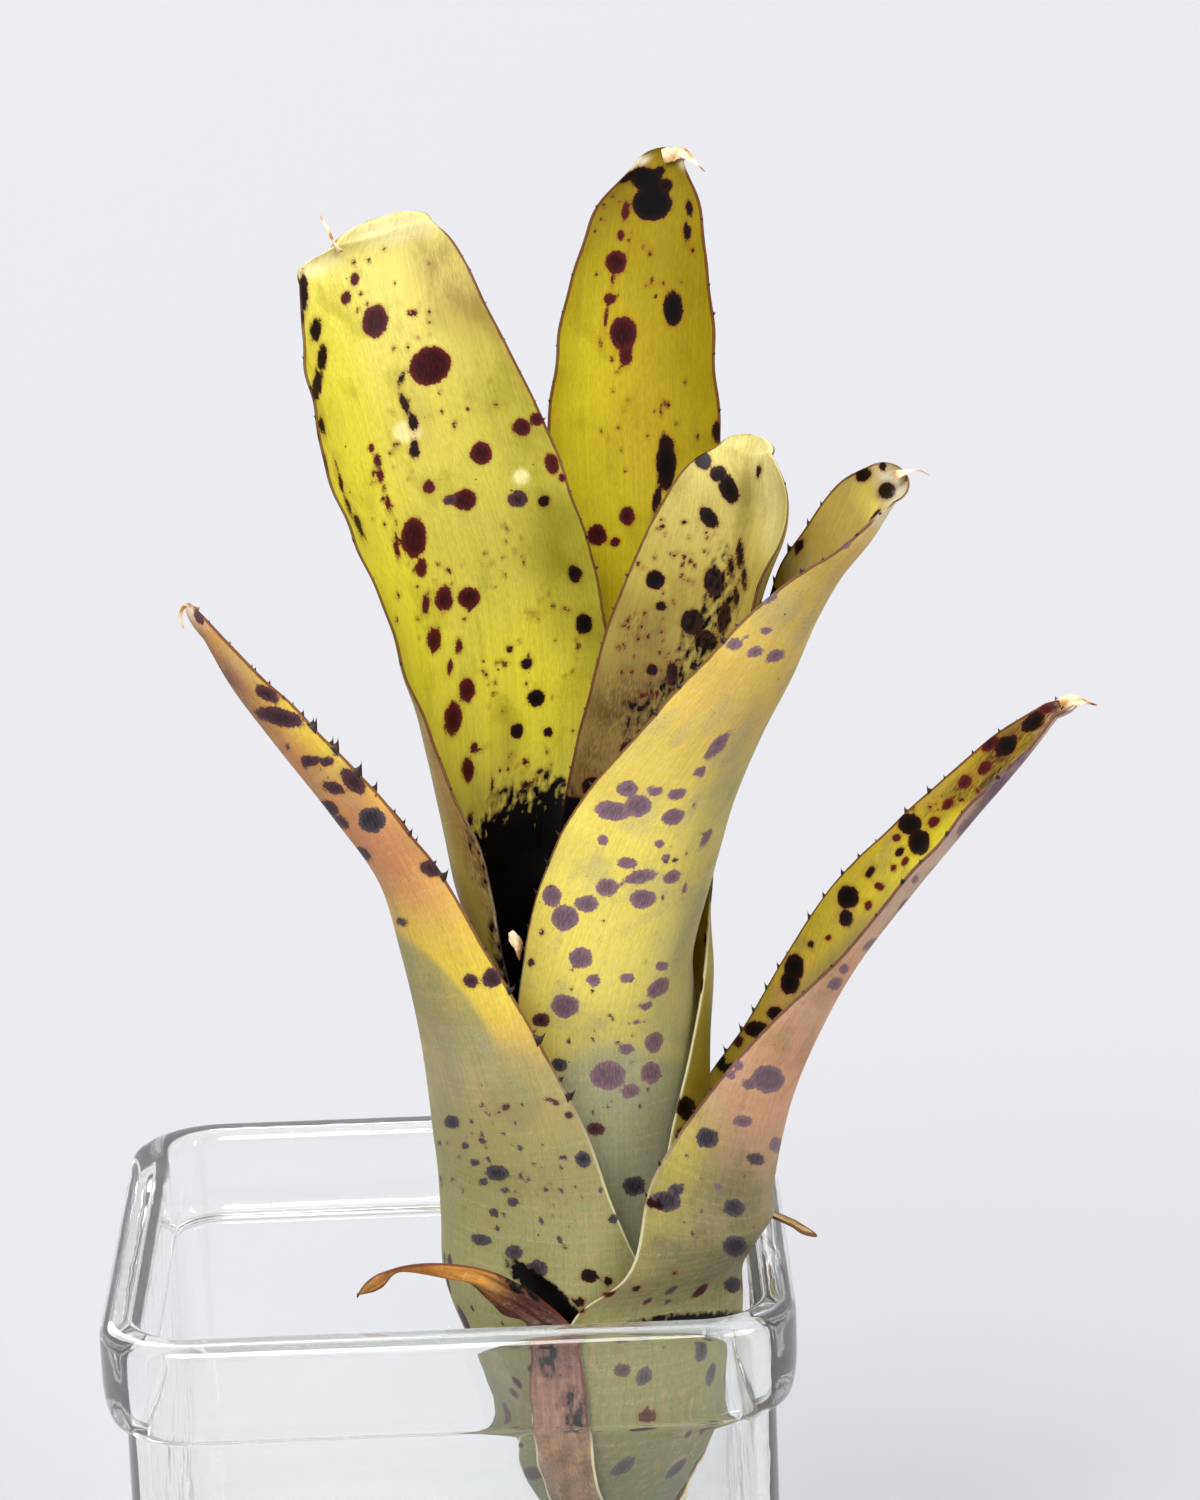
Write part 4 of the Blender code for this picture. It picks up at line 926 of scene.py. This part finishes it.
def leafMaterial(name, look):
    material, tree = newMaterial(name + "Skin")
    make = lambda *parts: addNode(tree, *parts)
    value = {a: make("Attribute", {"attribute_name": a}).outputs["Fac"]
             for a in ("spot", "spotTone", "outerFace", "alongShare", "toMargin", *tintKinds)}
    place = make("Attribute", {"attribute_name": "leafPlace"}).outputs["Vector"]
    for kind, (often, detail, distortion) in leafPatterns.items():
        spread = make("VectorMath", {"operation": "MULTIPLY"}, {"Vector": place, "Vector_001": often})
        value[kind] = make("TexNoise", None, {
            "Vector": spread, "Scale": 1.0, "Detail": detail, "Distortion": distortion})
    cells = make("TexVoronoi", None, {"Vector": place, "Scale": 1 / leafCommon["frecklePitch"]})
    value["cellDistance"] = cells.outputs["Distance"]
    value["cellColour"] = make("SeparateColor", None, {"Color": cells.outputs["Color"]})
    value.update({kind: look[kind] for kind in ("freckleChance", "roughness")})

    for made, word, *rest in leafSteps:
        if word.isupper():
            parts = {k: value.get(part, part) for k, part in enumerate(rest)}
            value[made] = make("Math", {"operation": word}, parts)
        else:
            limits = dict(zip(("Value", "From Min", "From Max", "To Min", "To Max"), (value[word], *rest)))
            value[made] = make("MapRange", {"interpolation_type": "SMOOTHSTEP"}, limits)
    ramp = {made: make("ValToRGB", {"stops": stops}, {"Fac": value[along]}) for made, stops, along in (
        ("core", leafCommon["core"], "spotTone"), ("rim", leafCommon["rim"], "spotTone"),
        ("inner", look["inner"], "alongShare"), ("outer", look["outer"], "alongShare"),
        ("margin", leafCommon["margin"], "alongShare"), ("veinShade", leafCommon["veinShade"], "ribbed"))}
    spotColour, colour = (
        make("Mix", {"data_type": "RGBA"}, {"Factor": value[factor], "A": ramp[one], "B": ramp[other]})
        for factor, one, other in (("rimShare", "core", "rim"), ("outerFace", "inner", "outer")))

    # Each layer's colour, then the shares that are multiplied into its strength
    # The first four: painted light, the real flush, painted shadow partly of the sheath's own grey-green,
    # and pale tissue partly painted light
    firstLayers = [(look[kind], kind, "uneven") for kind in ("glow", "flush", "shade", "pale")]
    layers = [
        *firstLayers,
        (look["shade"], "cloud"),
        (look["flush"], "worn", "dusky"),
        (look["stain"], "speck", "dusky"),
        (leafCommon["scurf"], "band", "dust", "outerFace"),
        (look["stain"], "stain", "stained"),
        (leafCommon["freckle"], "dot", leafCommon["freckleStrength"]),
        (ramp["margin"], "onMargin", "notPale"),
        (leafCommon["halo"], "near", "dark"),
        (spotColour, "inSpot"),
        # Painted shadow and dark stain: the brown painted shade, then the black
        (leafCommon["shadowAndStainHaze"], "haze", "sootReach"),
        (leafCommon["soot"], "sooty", "sootReach"),
    ]
    for done, (over, *shares) in enumerate(layers, 1):
        amount, *others = (value.get(share, share) for share in shares)
        for other in others:
            amount = make("Math", {"operation": "MULTIPLY"}, {0: amount, 1: other})
        colour = make("Mix", {"data_type": "RGBA"}, {"Factor": amount, "A": colour, "B": over})
        if done == len(firstLayers):
            colour = make("Mix", {"data_type": "RGBA", "blend_type": "MULTIPLY"}, {
                "Factor": look["veins"], "A": colour, "B": ramp["veinShade"]})

    bump = make("Bump", None, {
        "Strength": leafCommon["reliefStrength"], "Distance": leafCommon["reliefHeight"] * mm,
        "Height": value["relief"]})
    skin = make("BsdfPrincipled", None, {
        "Base Color": colour, "Normal": bump, "IOR": leafCommon["ior"],
        "Specular IOR Level": leafCommon["specular"], "Roughness": value["gloss"]})
    through = make("BsdfTranslucent", None, {"Color": colour})
    return material, make("MixShader", None, {
        "Fac": leafCommon["translucency"], "Shader": skin, "Shader_001": through})


for name, shape in leafShapes.items():
    finishPiece(leafPieces[name], *leafMaterial(name, leafLooks[name]), shape["slot"], (shape["node"],))
print("leaf materials made")


# Jar of pressed soda-lime glass: clear, fire-polished, thick and rounded at the rim
jarSet = {
    "collarWidth": 100.0,
    "collarHeight": 7.3,
    "shoulderDrop": 7.5,
    "shoulderFillet": 1.5,
    "bodyWidth": 93.6,
    "cornerRadius": 14.0,
    "rimThickness": 6.3,
    "rimRounding": 2.2,
    "wall": 3.1,
    "floor": 7.0,
    "footRounding": 3.0,
    "coneDrop": 12.0,  # from the rim's rounding down to where the inside is straight
    "wallRings": (-20, -34, -48, -62),
    "discRings": (0.3, 0.6, 0.85),  # shares of the floor's half width
    "cornerSteps": 18,
    "sideSteps": 10,
    "roundSteps": 9,
    "glass": "fdfefd",
    "shade": "fafcfa",  # what a shadow through the glass keeps
    "straightThrough": 0.04,
    "ior": 1.5,
    "ripplesPerMm": 0.09,
    "rippleHeight": 0.6,
    "rippleStrength": 0.25,
}


def jarRing(half, corner, height):
    ring = []
    for quarter in range(4):
        centre = Vector(((half - corner) * (1 if quarter in (0, 3) else -1),
                         (half - corner) * (1 if quarter in (0, 1) else -1), height))
        for step in range(jarSet["cornerSteps"] + 1):
            angle = pi / 2 * (quarter + step / jarSet["cornerSteps"])
            ring.append(centre + Vector((cos(angle), sin(angle), 0)) * corner)
        following = Matrix.Rotation(pi / 2, 3, "Z") @ ring[-jarSet["cornerSteps"] - 1]
        last = ring[-1].copy()
        ring += [last.lerp(following, step / jarSet["sideSteps"]) for step in range(1, jarSet["sideSteps"])]
    return ring


def jarProfile():
    # Half width and height of each ring, from the middle of the underside round to that of the floor
    body, collar = jarSet["bodyWidth"] / 2, jarSet["collarWidth"] / 2
    cavity, lip = body - jarSet["wall"], collar - jarSet["rimThickness"]
    rounding, foot, inset = jarSet["rimRounding"], jarSet["footRounding"], jarSet["shoulderFillet"]
    drop, under = jarSet["shoulderDrop"], jarSet["collarHeight"] + jarSet["shoulderDrop"]
    fillet, floor = jarSet["floor"] - foot, jarSet["floor"] - jarHeight
    turns = [(sin(a), cos(a)) for a in np.linspace(0, pi / 2, jarSet["roundSteps"])]
    profile = [(body * share, -jarHeight) for share in jarSet["discRings"]]
    profile += [(body - foot * (1 - s), -jarHeight + foot * (1 - c)) for s, c in turns]
    profile += [(body, -jarHeight + (jarHeight - under) * k / 6) for k in range(1, 6)]
    profile += [(body + inset * (1 - c), -under - inset * (1 - s)) for s, c in turns]
    profile += [(body + inset + (collar - body - inset) * s, drop * (1 - c) - under) for s, c in turns[1:]]
    profile += [(collar - rounding * (1 - c), -rounding * (1 - s)) for s, c in turns]
    profile += [(lip + rounding * (1 - s), -rounding * (1 - c)) for s, c in turns]
    profile += [(lip + (cavity - lip) * k / 4, -rounding - jarSet["coneDrop"] * k / 4) for k in range(1, 4)]
    profile += [(cavity, height) for height in jarSet["wallRings"]]
    profile += [(cavity - fillet * (1 - c), floor + fillet * (1 - s)) for s, c in turns]
    return profile + [((cavity - fillet) * share, floor) for share in reversed(jarSet["discRings"])]


def stackFaces(count, total, start=0):
    # Faces between rings of so many points each, with a cap at each end
    end = start + total
    faces = [list(range(start + count - 1, start - 1, -1)), list(range(end - count, end))]
    for low in range(start, end - count, count):
        faces += [[low + k, low + (k + 1) % count, low + (k + 1) % count + count, low + k + count]
                  for k in range(count)]
    return faces


jarPoints = []
for half, height in jarProfile():
    corner = max(jarSet["cornerRadius"] - (jarSet["collarWidth"] / 2 - half), 0.1 * half)
    jarPoints += [tuple(point) for point in jarRing(half, corner, height)]
ringSize = 4 * (jarSet["cornerSteps"] + jarSet["sideSteps"])
jar = meshPiece("jarGlass", jarPoints, stackFaces(ringSize, len(jarPoints)), 60)

glass, tree = newMaterial("pressedSodaGlass")
inMm = addNode(tree, "VectorMath", {"operation": "SCALE"}, {
    "Vector": addNode(tree, "TexCoord").outputs["Object"], "Scale": 1 / mm})
ripple = addNode(tree, "TexNoise", None, {"Vector": inMm, "Scale": jarSet["ripplesPerMm"], "Detail": 2.0})
rippleBump = addNode(tree, "Bump", None, {
    "Strength": jarSet["rippleStrength"], "Distance": jarSet["rippleHeight"] * mm, "Height": ripple})
clear = addNode(tree, "BsdfPrincipled", None, {
    "Base Color": jarSet["glass"], "Roughness": 0.0, "IOR": jarSet["ior"], "Transmission Weight": 1.0,
    "Normal": rippleBump})
straight, lampsPass = (
    addNode(tree, "BsdfTransparent", None, {"Color": jarSet[kind]}) for kind in ("glass", "shade"))
lighter = addNode(tree, "MixShader", None, {
    "Fac": jarSet["straightThrough"], "Shader": clear, "Shader_001": straight})
glassMix = addNode(tree, "MixShader", None, {
    "Fac": addNode(tree, "LightPath").outputs["Is Shadow Ray"], "Shader": lighter, "Shader_001": lampsPass})
finishPiece(jar, glass, glassMix, "jar_glass", ("jar",))
print("jar made")


# Stem: a woody stub, ringed by the scars of the leaves that it has lost
stemSet = {
    "outline": [  # mm: height, middle x, middle y, radius
        (-82.7, 20, -9, 3.4), (-82.2, 20, -9, 4.1), (-78, 20, -9.1, 4.4), (-74, 20.2, -9.4, 4.5),
        (-64, 20.8, -10.6, 4.7), (-55, 21.6, -12.2, 5.2), (-49, 22, -13, 5.7), (-45, 22, -13, 5.6),
        (-36, 22, -13, 5.1), (-28, 22, -13, 4.5), (-22, 22, -13, 4), (-18.5, 22, -13, 3.2),
        (-17, 22, -13, 1.8),
    ],
    "sides": 56,
    "ringGap": 0.45,
    "scarPitch": 4.6,
    "scarDepth": 0.42,
    "scarSlant": 0.9,
    "slantTurn": 0.35,  # how far round the slant goes per mm of height
    "ridges": ((0.10, 5, 0.8), (0.07, 11, -1.3)),  # depth, how many, and their turn per mm
    "rind": {0.25: "2a1c10", 0.45: "5e4426", 0.62: "8a6a3c", 0.8: "b39a66"},
    "roughness": 0.75,
    "relief": (0.7, 0.25),  # strength, mm
}


def stemRings():
    outline = np.array(stemSet["outline"])
    heights = np.arange(outline[0, 0], outline[-1, 0] + 0.01, stemSet["ringGap"])
    table = alongLeaf(outline[:, 1:], outline[:, 0], heights)
    angles = np.linspace(0, 2 * pi, stemSet["sides"], endpoint=False)
    rings = []
    for height, (x, y, radius) in zip(heights, table):
        slanted = height + stemSet["scarSlant"] * np.sin(angles + height * stemSet["slantTurn"])
        step = (slanted / stemSet["scarPitch"]) % 1.0
        worn = sum(deep * np.sin(angles * count + height * turn) for deep, count, turn in stemSet["ridges"])
        reach = radius - stemSet["scarDepth"] * np.exp(-((step - 0.5) / 0.13) ** 2) + 0.10 * step + worn
        level = np.full(len(angles), height)
        rings.append(np.stack([x + reach * np.cos(angles), y + reach * np.sin(angles), level], 1))
    return np.concatenate(rings)


stemPoints = stemRings()
stem = meshPiece("stemStub", stemPoints, stackFaces(stemSet["sides"], len(stemPoints)), 70)
# Rind: dull, flaking and brown, mottled from dark to pale brown
rind = grainyMaterial("barkyRind", (900, 900, 350), 5.0, stemSet["rind"],
                      {"Roughness": stemSet["roughness"]}, 0.0, stemSet["relief"])
finishPiece(stem, *rind, "stem", ("stem",))
print("stem made")


# Dried ends: shrivelled papery tips that curl off the leaves, and flakes of the same
driedSet = {
    "strips": {  # the middle line in mm, the width along it and the twist in degrees
        "leftTallPoint": (
            [(-9.6, 2.4, 146.4), (-10.4, 2.2, 148), (-11.2, 3, 149.8), (-12.2, 3.8, 151.6)],
            [1.7, 1.0, 0.5, 0.15], 140),
        "backTallFlag": (
            [(37.4, 13.4, 156.6), (39.6, 12.8, 157.2), (41.6, 12, 156.2), (43.3, 11.2, 154.6)],
            [2.2, 2.0, 1.3, 0.3], 100),
        "frontHair": (
            [(67.6, -24, 116.4), (69.6, -24.8, 117.2), (71, -25.4, 117.4), (72.3, -26, 116.8)],
            [1.6, 0.9, 0.45, 0.12], 120),
        "lowRightTip": (
            [(90.2, -26.2, 82.9), (92.4, -26.5, 83.5), (94.1, -26.8, 83.2), (95.2, -27, 82.9)],
            [2.6, 1.8, 1.0, 0.25], 150),
        "lowLeftCurl": (
            [(-30.8, -25.4, 101.2), (-32.6, -25.2, 102), (-33.4, -25, 100.6), (-33.1, -25.1, 98.7)],
            [2.0, 1.5, 0.9, 0.2], 170),
        "cupFlake": (
            [(11.2, -26.2, 52.6), (11.8, -27, 51.6), (12.2, -27.2, 50.2), (12.3, -27, 48.6)],
            [0.8, 1.6, 1.2, 0.3], 60),
    },
    "steps": 22,
    "sides": 12,
    "flatness": 0.34,
    "creaseDepth": 0.22,
    "creaseTurn": 2.1,
    "paper": {0.30: "7c4c28", 0.42: "c08c50", 0.52: "e2c898", 0.70: "f6ecd2"},
    "roughness": 0.6,
    "translucency": 0.3,
}


def driedStrip(line, widths, twist, draw):
    line, widths = np.array(line, float), np.array(widths, float)[:, None]
    distances = np.concatenate([[0.0], np.cumsum(np.linalg.norm(np.diff(line, axis=0), axis=1))])
    places = np.linspace(0, distances[-1], driedSet["steps"])
    middle, width = alongLeaf(line, distances, places), alongLeaf(widths, distances, places)
    tangent = unit(np.gradient(middle, axis=0))
    across = unit(np.cross(tangent, (0.3, 1.0, 0.2)))
    normal = np.cross(across, tangent)
    turn = (radians(twist) * places / distances[-1] + draw.uniform(0, 1))[:, None]
    sine, cosine = np.sin(turn), np.cos(turn)
    across, normal = across * cosine + normal * sine, normal * cosine - across * sine
    angles = np.linspace(0, 2 * pi, driedSet["sides"], endpoint=False)
    turned = 3 * angles[None, :] + driedSet["creaseTurn"] * places[:, None] + draw.uniform(0, 6)
    crease = 1 + driedSet["creaseDepth"] * np.sin(turned)
    wide = np.cos(angles)[None, :, None] * across[:, None]
    high = np.sin(angles)[None, :, None] * normal[:, None] * driedSet["flatness"]
    return (middle[:, None] + (wide + high) * (width / 2)[:, None] * crease[..., None]).reshape(-1, 3)


driedPoints, driedFaces = [], []
for number, (line, widths, twist) in enumerate(driedSet["strips"].values()):
    strip = driedStrip(line, widths, twist, Random(40 + number))
    driedFaces += stackFaces(driedSet["sides"], len(strip), len(driedPoints))
    driedPoints += strip.tolist()
driedTips = meshPiece("driedTips", driedPoints, driedFaces)
# Paper: thin, brittle and matt, from cream to rust where it browned
papery = grainyMaterial("paperyDriedTip", (420, 420, 420), 3.0, driedSet["paper"],
                        {"Roughness": driedSet["roughness"]}, driedSet["translucency"])
finishPiece(driedTips, *papery, "old_leaf")
print("dried tips made")


# Marginal spines: dark horny teeth that lean towards the leaf's tip
spineSet = {
    "inputs": {  # of the geometry nodes
        "Pitch": 4.6 * mm,
        "Length": 1.35 * mm,
        "Width": 2.4 * mm,
        "Thickness": 0.75 * mm,
        "Smallest": 0.35,
        "Largest": 1.10,
        "Shift": 0.40 * 4.6 * mm,  # at most, along the margin
        "Seed": 11,
    },
    "clearOfTip": 3.0,  # mm
    "growthAtTip": 0.35,
    "growthLength": 40,  # mm over which the spines grow to their full size
    "horn": {0.35: "0e0908", 0.75: "3a241a"},
}


def marginLines():
    # One edge line along each margin, with the direction out of the leaf and how big spines grow
    points, outward, growth, edges = [], [], [], []
    for name, shape in leafShapes.items():
        grid = leafGrids[name]
        for side, column in ((-1, 0), (1, -1)) if shape["teeth"] else ():
            line, away = grid["points"][:, column], grid["offMargin"][side]
            toTip = grid["length"] - grid["place"][:, column]
            chosen = np.nonzero((line[:, 2] > shape["teethAbove"]) & (toTip > spineSet["clearOfTip"]))[0]
            base = len(points)
            points += [tuple((line[k] + (0, 0, jarHeight)) * mm) for k in chosen]
            outward += [away[k] for k in chosen]
            growth += [shape["teeth"] * min(
                1.0, spineSet["growthAtTip"] + toTip[k] / spineSet["growthLength"]) for k in chosen]
            edges += [(base + k, base + k + 1) for k in range(len(chosen) - 1)]
    mesh = bpy.data.meshes.new("marginSpines")
    mesh.from_pydata(points, edges, [])
    setAttribute(mesh, "outward", np.array(outward), "FLOAT_VECTOR")
    setAttribute(mesh, "growth", np.array(growth))
    return mesh


def addSpines(source, values):
    # Grows a tooth at every pitch along the margins, by geometry nodes with these values as inputs
    tree = bpy.data.node_groups.new("spinesAlongMargins", "GeometryNodeTree")
    tree.interface.new_socket("Margins", in_out="INPUT", socket_type="NodeSocketGeometry")
    socketOf = {}
    for label, value in values.items():
        kind = {float: "NodeSocketFloat", int: "NodeSocketInt"}.get(type(value), "NodeSocketMaterial")
        socketOf[label] = tree.interface.new_socket(label, in_out="INPUT", socket_type=kind).identifier
    tree.interface.new_socket("Spines", in_out="OUTPUT", socket_type="NodeSocketGeometry")
    make = lambda *parts: addNode(tree, *parts)
    given = tree.nodes.new("NodeGroupInput").outputs
    curves = make("GeometryNodeMeshToCurve", None, {"Mesh": given["Margins"]})
    stops = make("GeometryNodeResampleCurve", {"mode": "LENGTH"}, {
        "Curve": curves, "Length": given["Pitch"]})
    tangent = make("GeometryNodeInputTangent")
    drift = make("FunctionNodeRandomValue", {"data_type": "FLOAT"}, {
        "Min": -1.0, "Max": 1.0, "Seed": given["Seed"]})
    step = make("Math", {"operation": "MULTIPLY"}, {0: drift, 1: given["Shift"]})
    shift = make("VectorMath", {"operation": "SCALE"}, {"Vector": tangent, "Scale": step})
    keptTangent = make("GeometryNodeCaptureAttribute", None, {"Geometry": stops})
    keptTangent.capture_items.new("VECTOR", "tangent")
    tree.links.new(tangent.outputs[0], keptTangent.inputs[1])
    moved = make("GeometryNodeSetPosition", None, {
        "Geometry": keptTangent.outputs["Geometry"], "Offset": shift})

    # One tooth a unit long: a hooked cone on a round foot
    hook = make("GeometryNodeCurveQuadraticBezier", None, {
        "Resolution": 8, "Start": (-0.02, 0, -0.22), "Middle": (0.0, 0, 0.55), "End": (0.34, 0, 1.0)})
    left = make("MapRange", None, {
        "Value": make("GeometryNodeSplineParameter").outputs["Factor"], "To Min": 1.0, "To Max": 0.16})
    taper = make("Math", {"operation": "POWER"}, {0: left, 1: 2.2})
    foot = make("GeometryNodeCurvePrimitiveCircle", None, {"Resolution": 7, "Radius": 0.5})
    tooth = make("GeometryNodeCurveToMesh", None, {
        "Curve": hook, "Profile Curve": foot.outputs["Curve"], "Scale": taper, "Fill Caps": True})

    outward, growth = (
        make("GeometryNodeInputNamedAttribute", {"data_type": kind}, {"Name": label}).outputs["Attribute"]
        for label, kind in (("outward", "FLOAT_VECTOR"), ("growth", "FLOAT")))
    upright = make("FunctionNodeAlignRotationToVector", {"axis": "Z"}, {"Vector": outward})
    leaned = make("FunctionNodeAlignRotationToVector", {"axis": "X", "pivot_axis": "Z"}, {
        "Rotation": upright, "Vector": keptTangent.outputs[1]})
    luck = make("FunctionNodeRandomValue", {"data_type": "FLOAT"}, {
        "Min": given["Smallest"], "Max": given["Largest"], "Seed": given["Seed"], "ID": 3})
    size = make("Math", {"operation": "MULTIPLY"}, {0: luck, 1: growth})
    shape = make("CombineXYZ", None, {
        "X": given["Width"], "Y": given["Thickness"], "Z": given["Length"]})
    scale = make("VectorMath", {"operation": "SCALE"}, {"Vector": shape, "Scale": size})
    placed = make("GeometryNodeInstanceOnPoints", None, {
        "Points": moved, "Instance": tooth, "Rotation": leaned, "Scale": scale})
    real = make("GeometryNodeRealizeInstances", None, {"Geometry": placed})
    skinned = make("GeometryNodeSetMaterial", None, {"Geometry": real, "Material": given["Material"]})
    make("NodeGroupOutput", None, {"Spines": skinned})
    grower = source.modifiers.new("spines", "NODES")
    grower.node_group = tree
    for label, value in values.items():
        grower[socketOf[label]] = value


# Horn: near-black, dry and slightly shiny, browner in patches
horn, hornShader = grainyMaterial("driedHorn", (900, 900, 900), 2.0, spineSet["horn"],
                                  {"Roughness": 0.45, "Specular IOR Level": 0.25})
spineSource = newObject("spineSource", marginLines())
addSpines(spineSource, {**spineSet["inputs"], "Material": horn})
evaluated = spineSource.evaluated_get(bpy.context.evaluated_depsgraph_get())
spinesMade = bpy.data.meshes.new_from_object(evaluated)
bpy.data.objects.remove(spineSource, do_unlink=True)
spinesMade.shade_smooth()
finishPiece(newObject("marginSpines", spinesMade), horn, hornShader, "leaf_flushed")
print("spines made:", len(spinesMade.polygons), "faces")


# Floor and light
studio = {
    "floorSize": 30.0,  # m
    "floorColour": "a0a0a3",
    "skyStops": {0: "d0d0d4", 0.5: "d0d0d4", 0.62: "e6e6ec", 1: "ffffff"},
    "skyStrength": 0.90,
    "sideDimming": 0.25,  # of the sky straight to the left and right
    "sideFrom": (0.82, 0.96),  # cosine of the way to the side, where dimming starts and is full
    "cameraSideDimming": 0.30,
    "cameraSideFrom": (-0.80, -0.95),
    "lampSoftness": 36,  # degrees across
    "lamps": {
        "keyLamp": ((-0.25, -0.75, 0.85), 3.8),
        "fillLamp": ((0.75, -0.60, 0.60), 1.8),
        "backLamp": ((-0.35, 0.80, 0.60), 2.0),
    },
}

bpy.ops.mesh.primitive_plane_add(size=studio["floorSize"])
floor = bpy.context.object
floor.name = "floor"
paper, tree = newMaterial("palePaperFloor")
addNode(tree, "OutputMaterial", None, {"Surface": addNode(tree, "BsdfPrincipled", None, {
    "Base Color": studio["floorColour"], "Roughness": 0.9, "Specular IOR Level": 0.1})})
floor.data.materials.append(paper)

world = bpy.data.worlds.new("softLight")
bpy.context.scene.world = world
world.use_nodes = True
tree = world.node_tree
tree.nodes.clear()
way = addNode(tree, "SeparateXYZ", None, {"Vector": addNode(tree, "TexCoord").outputs["Generated"]}).outputs
risen = addNode(tree, "MapRange", None, {"Value": way["Z"], "From Min": -1.0, "From Max": 1.0})
sky = addNode(tree, "ValToRGB", {"stops": studio["skyStops"]}, {"Fac": risen})
sideways = addNode(tree, "Math", {"operation": "ABSOLUTE"}, {0: way["X"]})
sideShare, cameraSide = (
    addNode(tree, "MapRange", None, {
        "Value": along, "From Min": studio[name + "From"][0], "From Max": studio[name + "From"][1],
        "To Min": strength, "To Max": studio[name + "Dimming"] * strength})
    for name, along, strength in (("side", sideways, 1.0), ("cameraSide", way["Y"], studio["skyStrength"])))
dimmed = addNode(tree, "Math", {"operation": "MULTIPLY"}, {0: sideShare, 1: cameraSide})
background = addNode(tree, "Background", None, {"Color": sky, "Strength": dimmed})
addNode(tree, "OutputWorld", None, {"Surface": background})

for lampName, (comesFrom, strength) in studio["lamps"].items():
    lamp = newObject(lampName, bpy.data.lights.new(lampName, "SUN"))
    lamp.data.energy = strength
    lamp.data.angle = radians(studio["lampSoftness"])
    lamp.rotation_euler = Vector(comesFrom).to_track_quat("Z", "Y").to_euler()
bpy.context.scene.view_settings.view_transform = "Standard"
print("studio made")
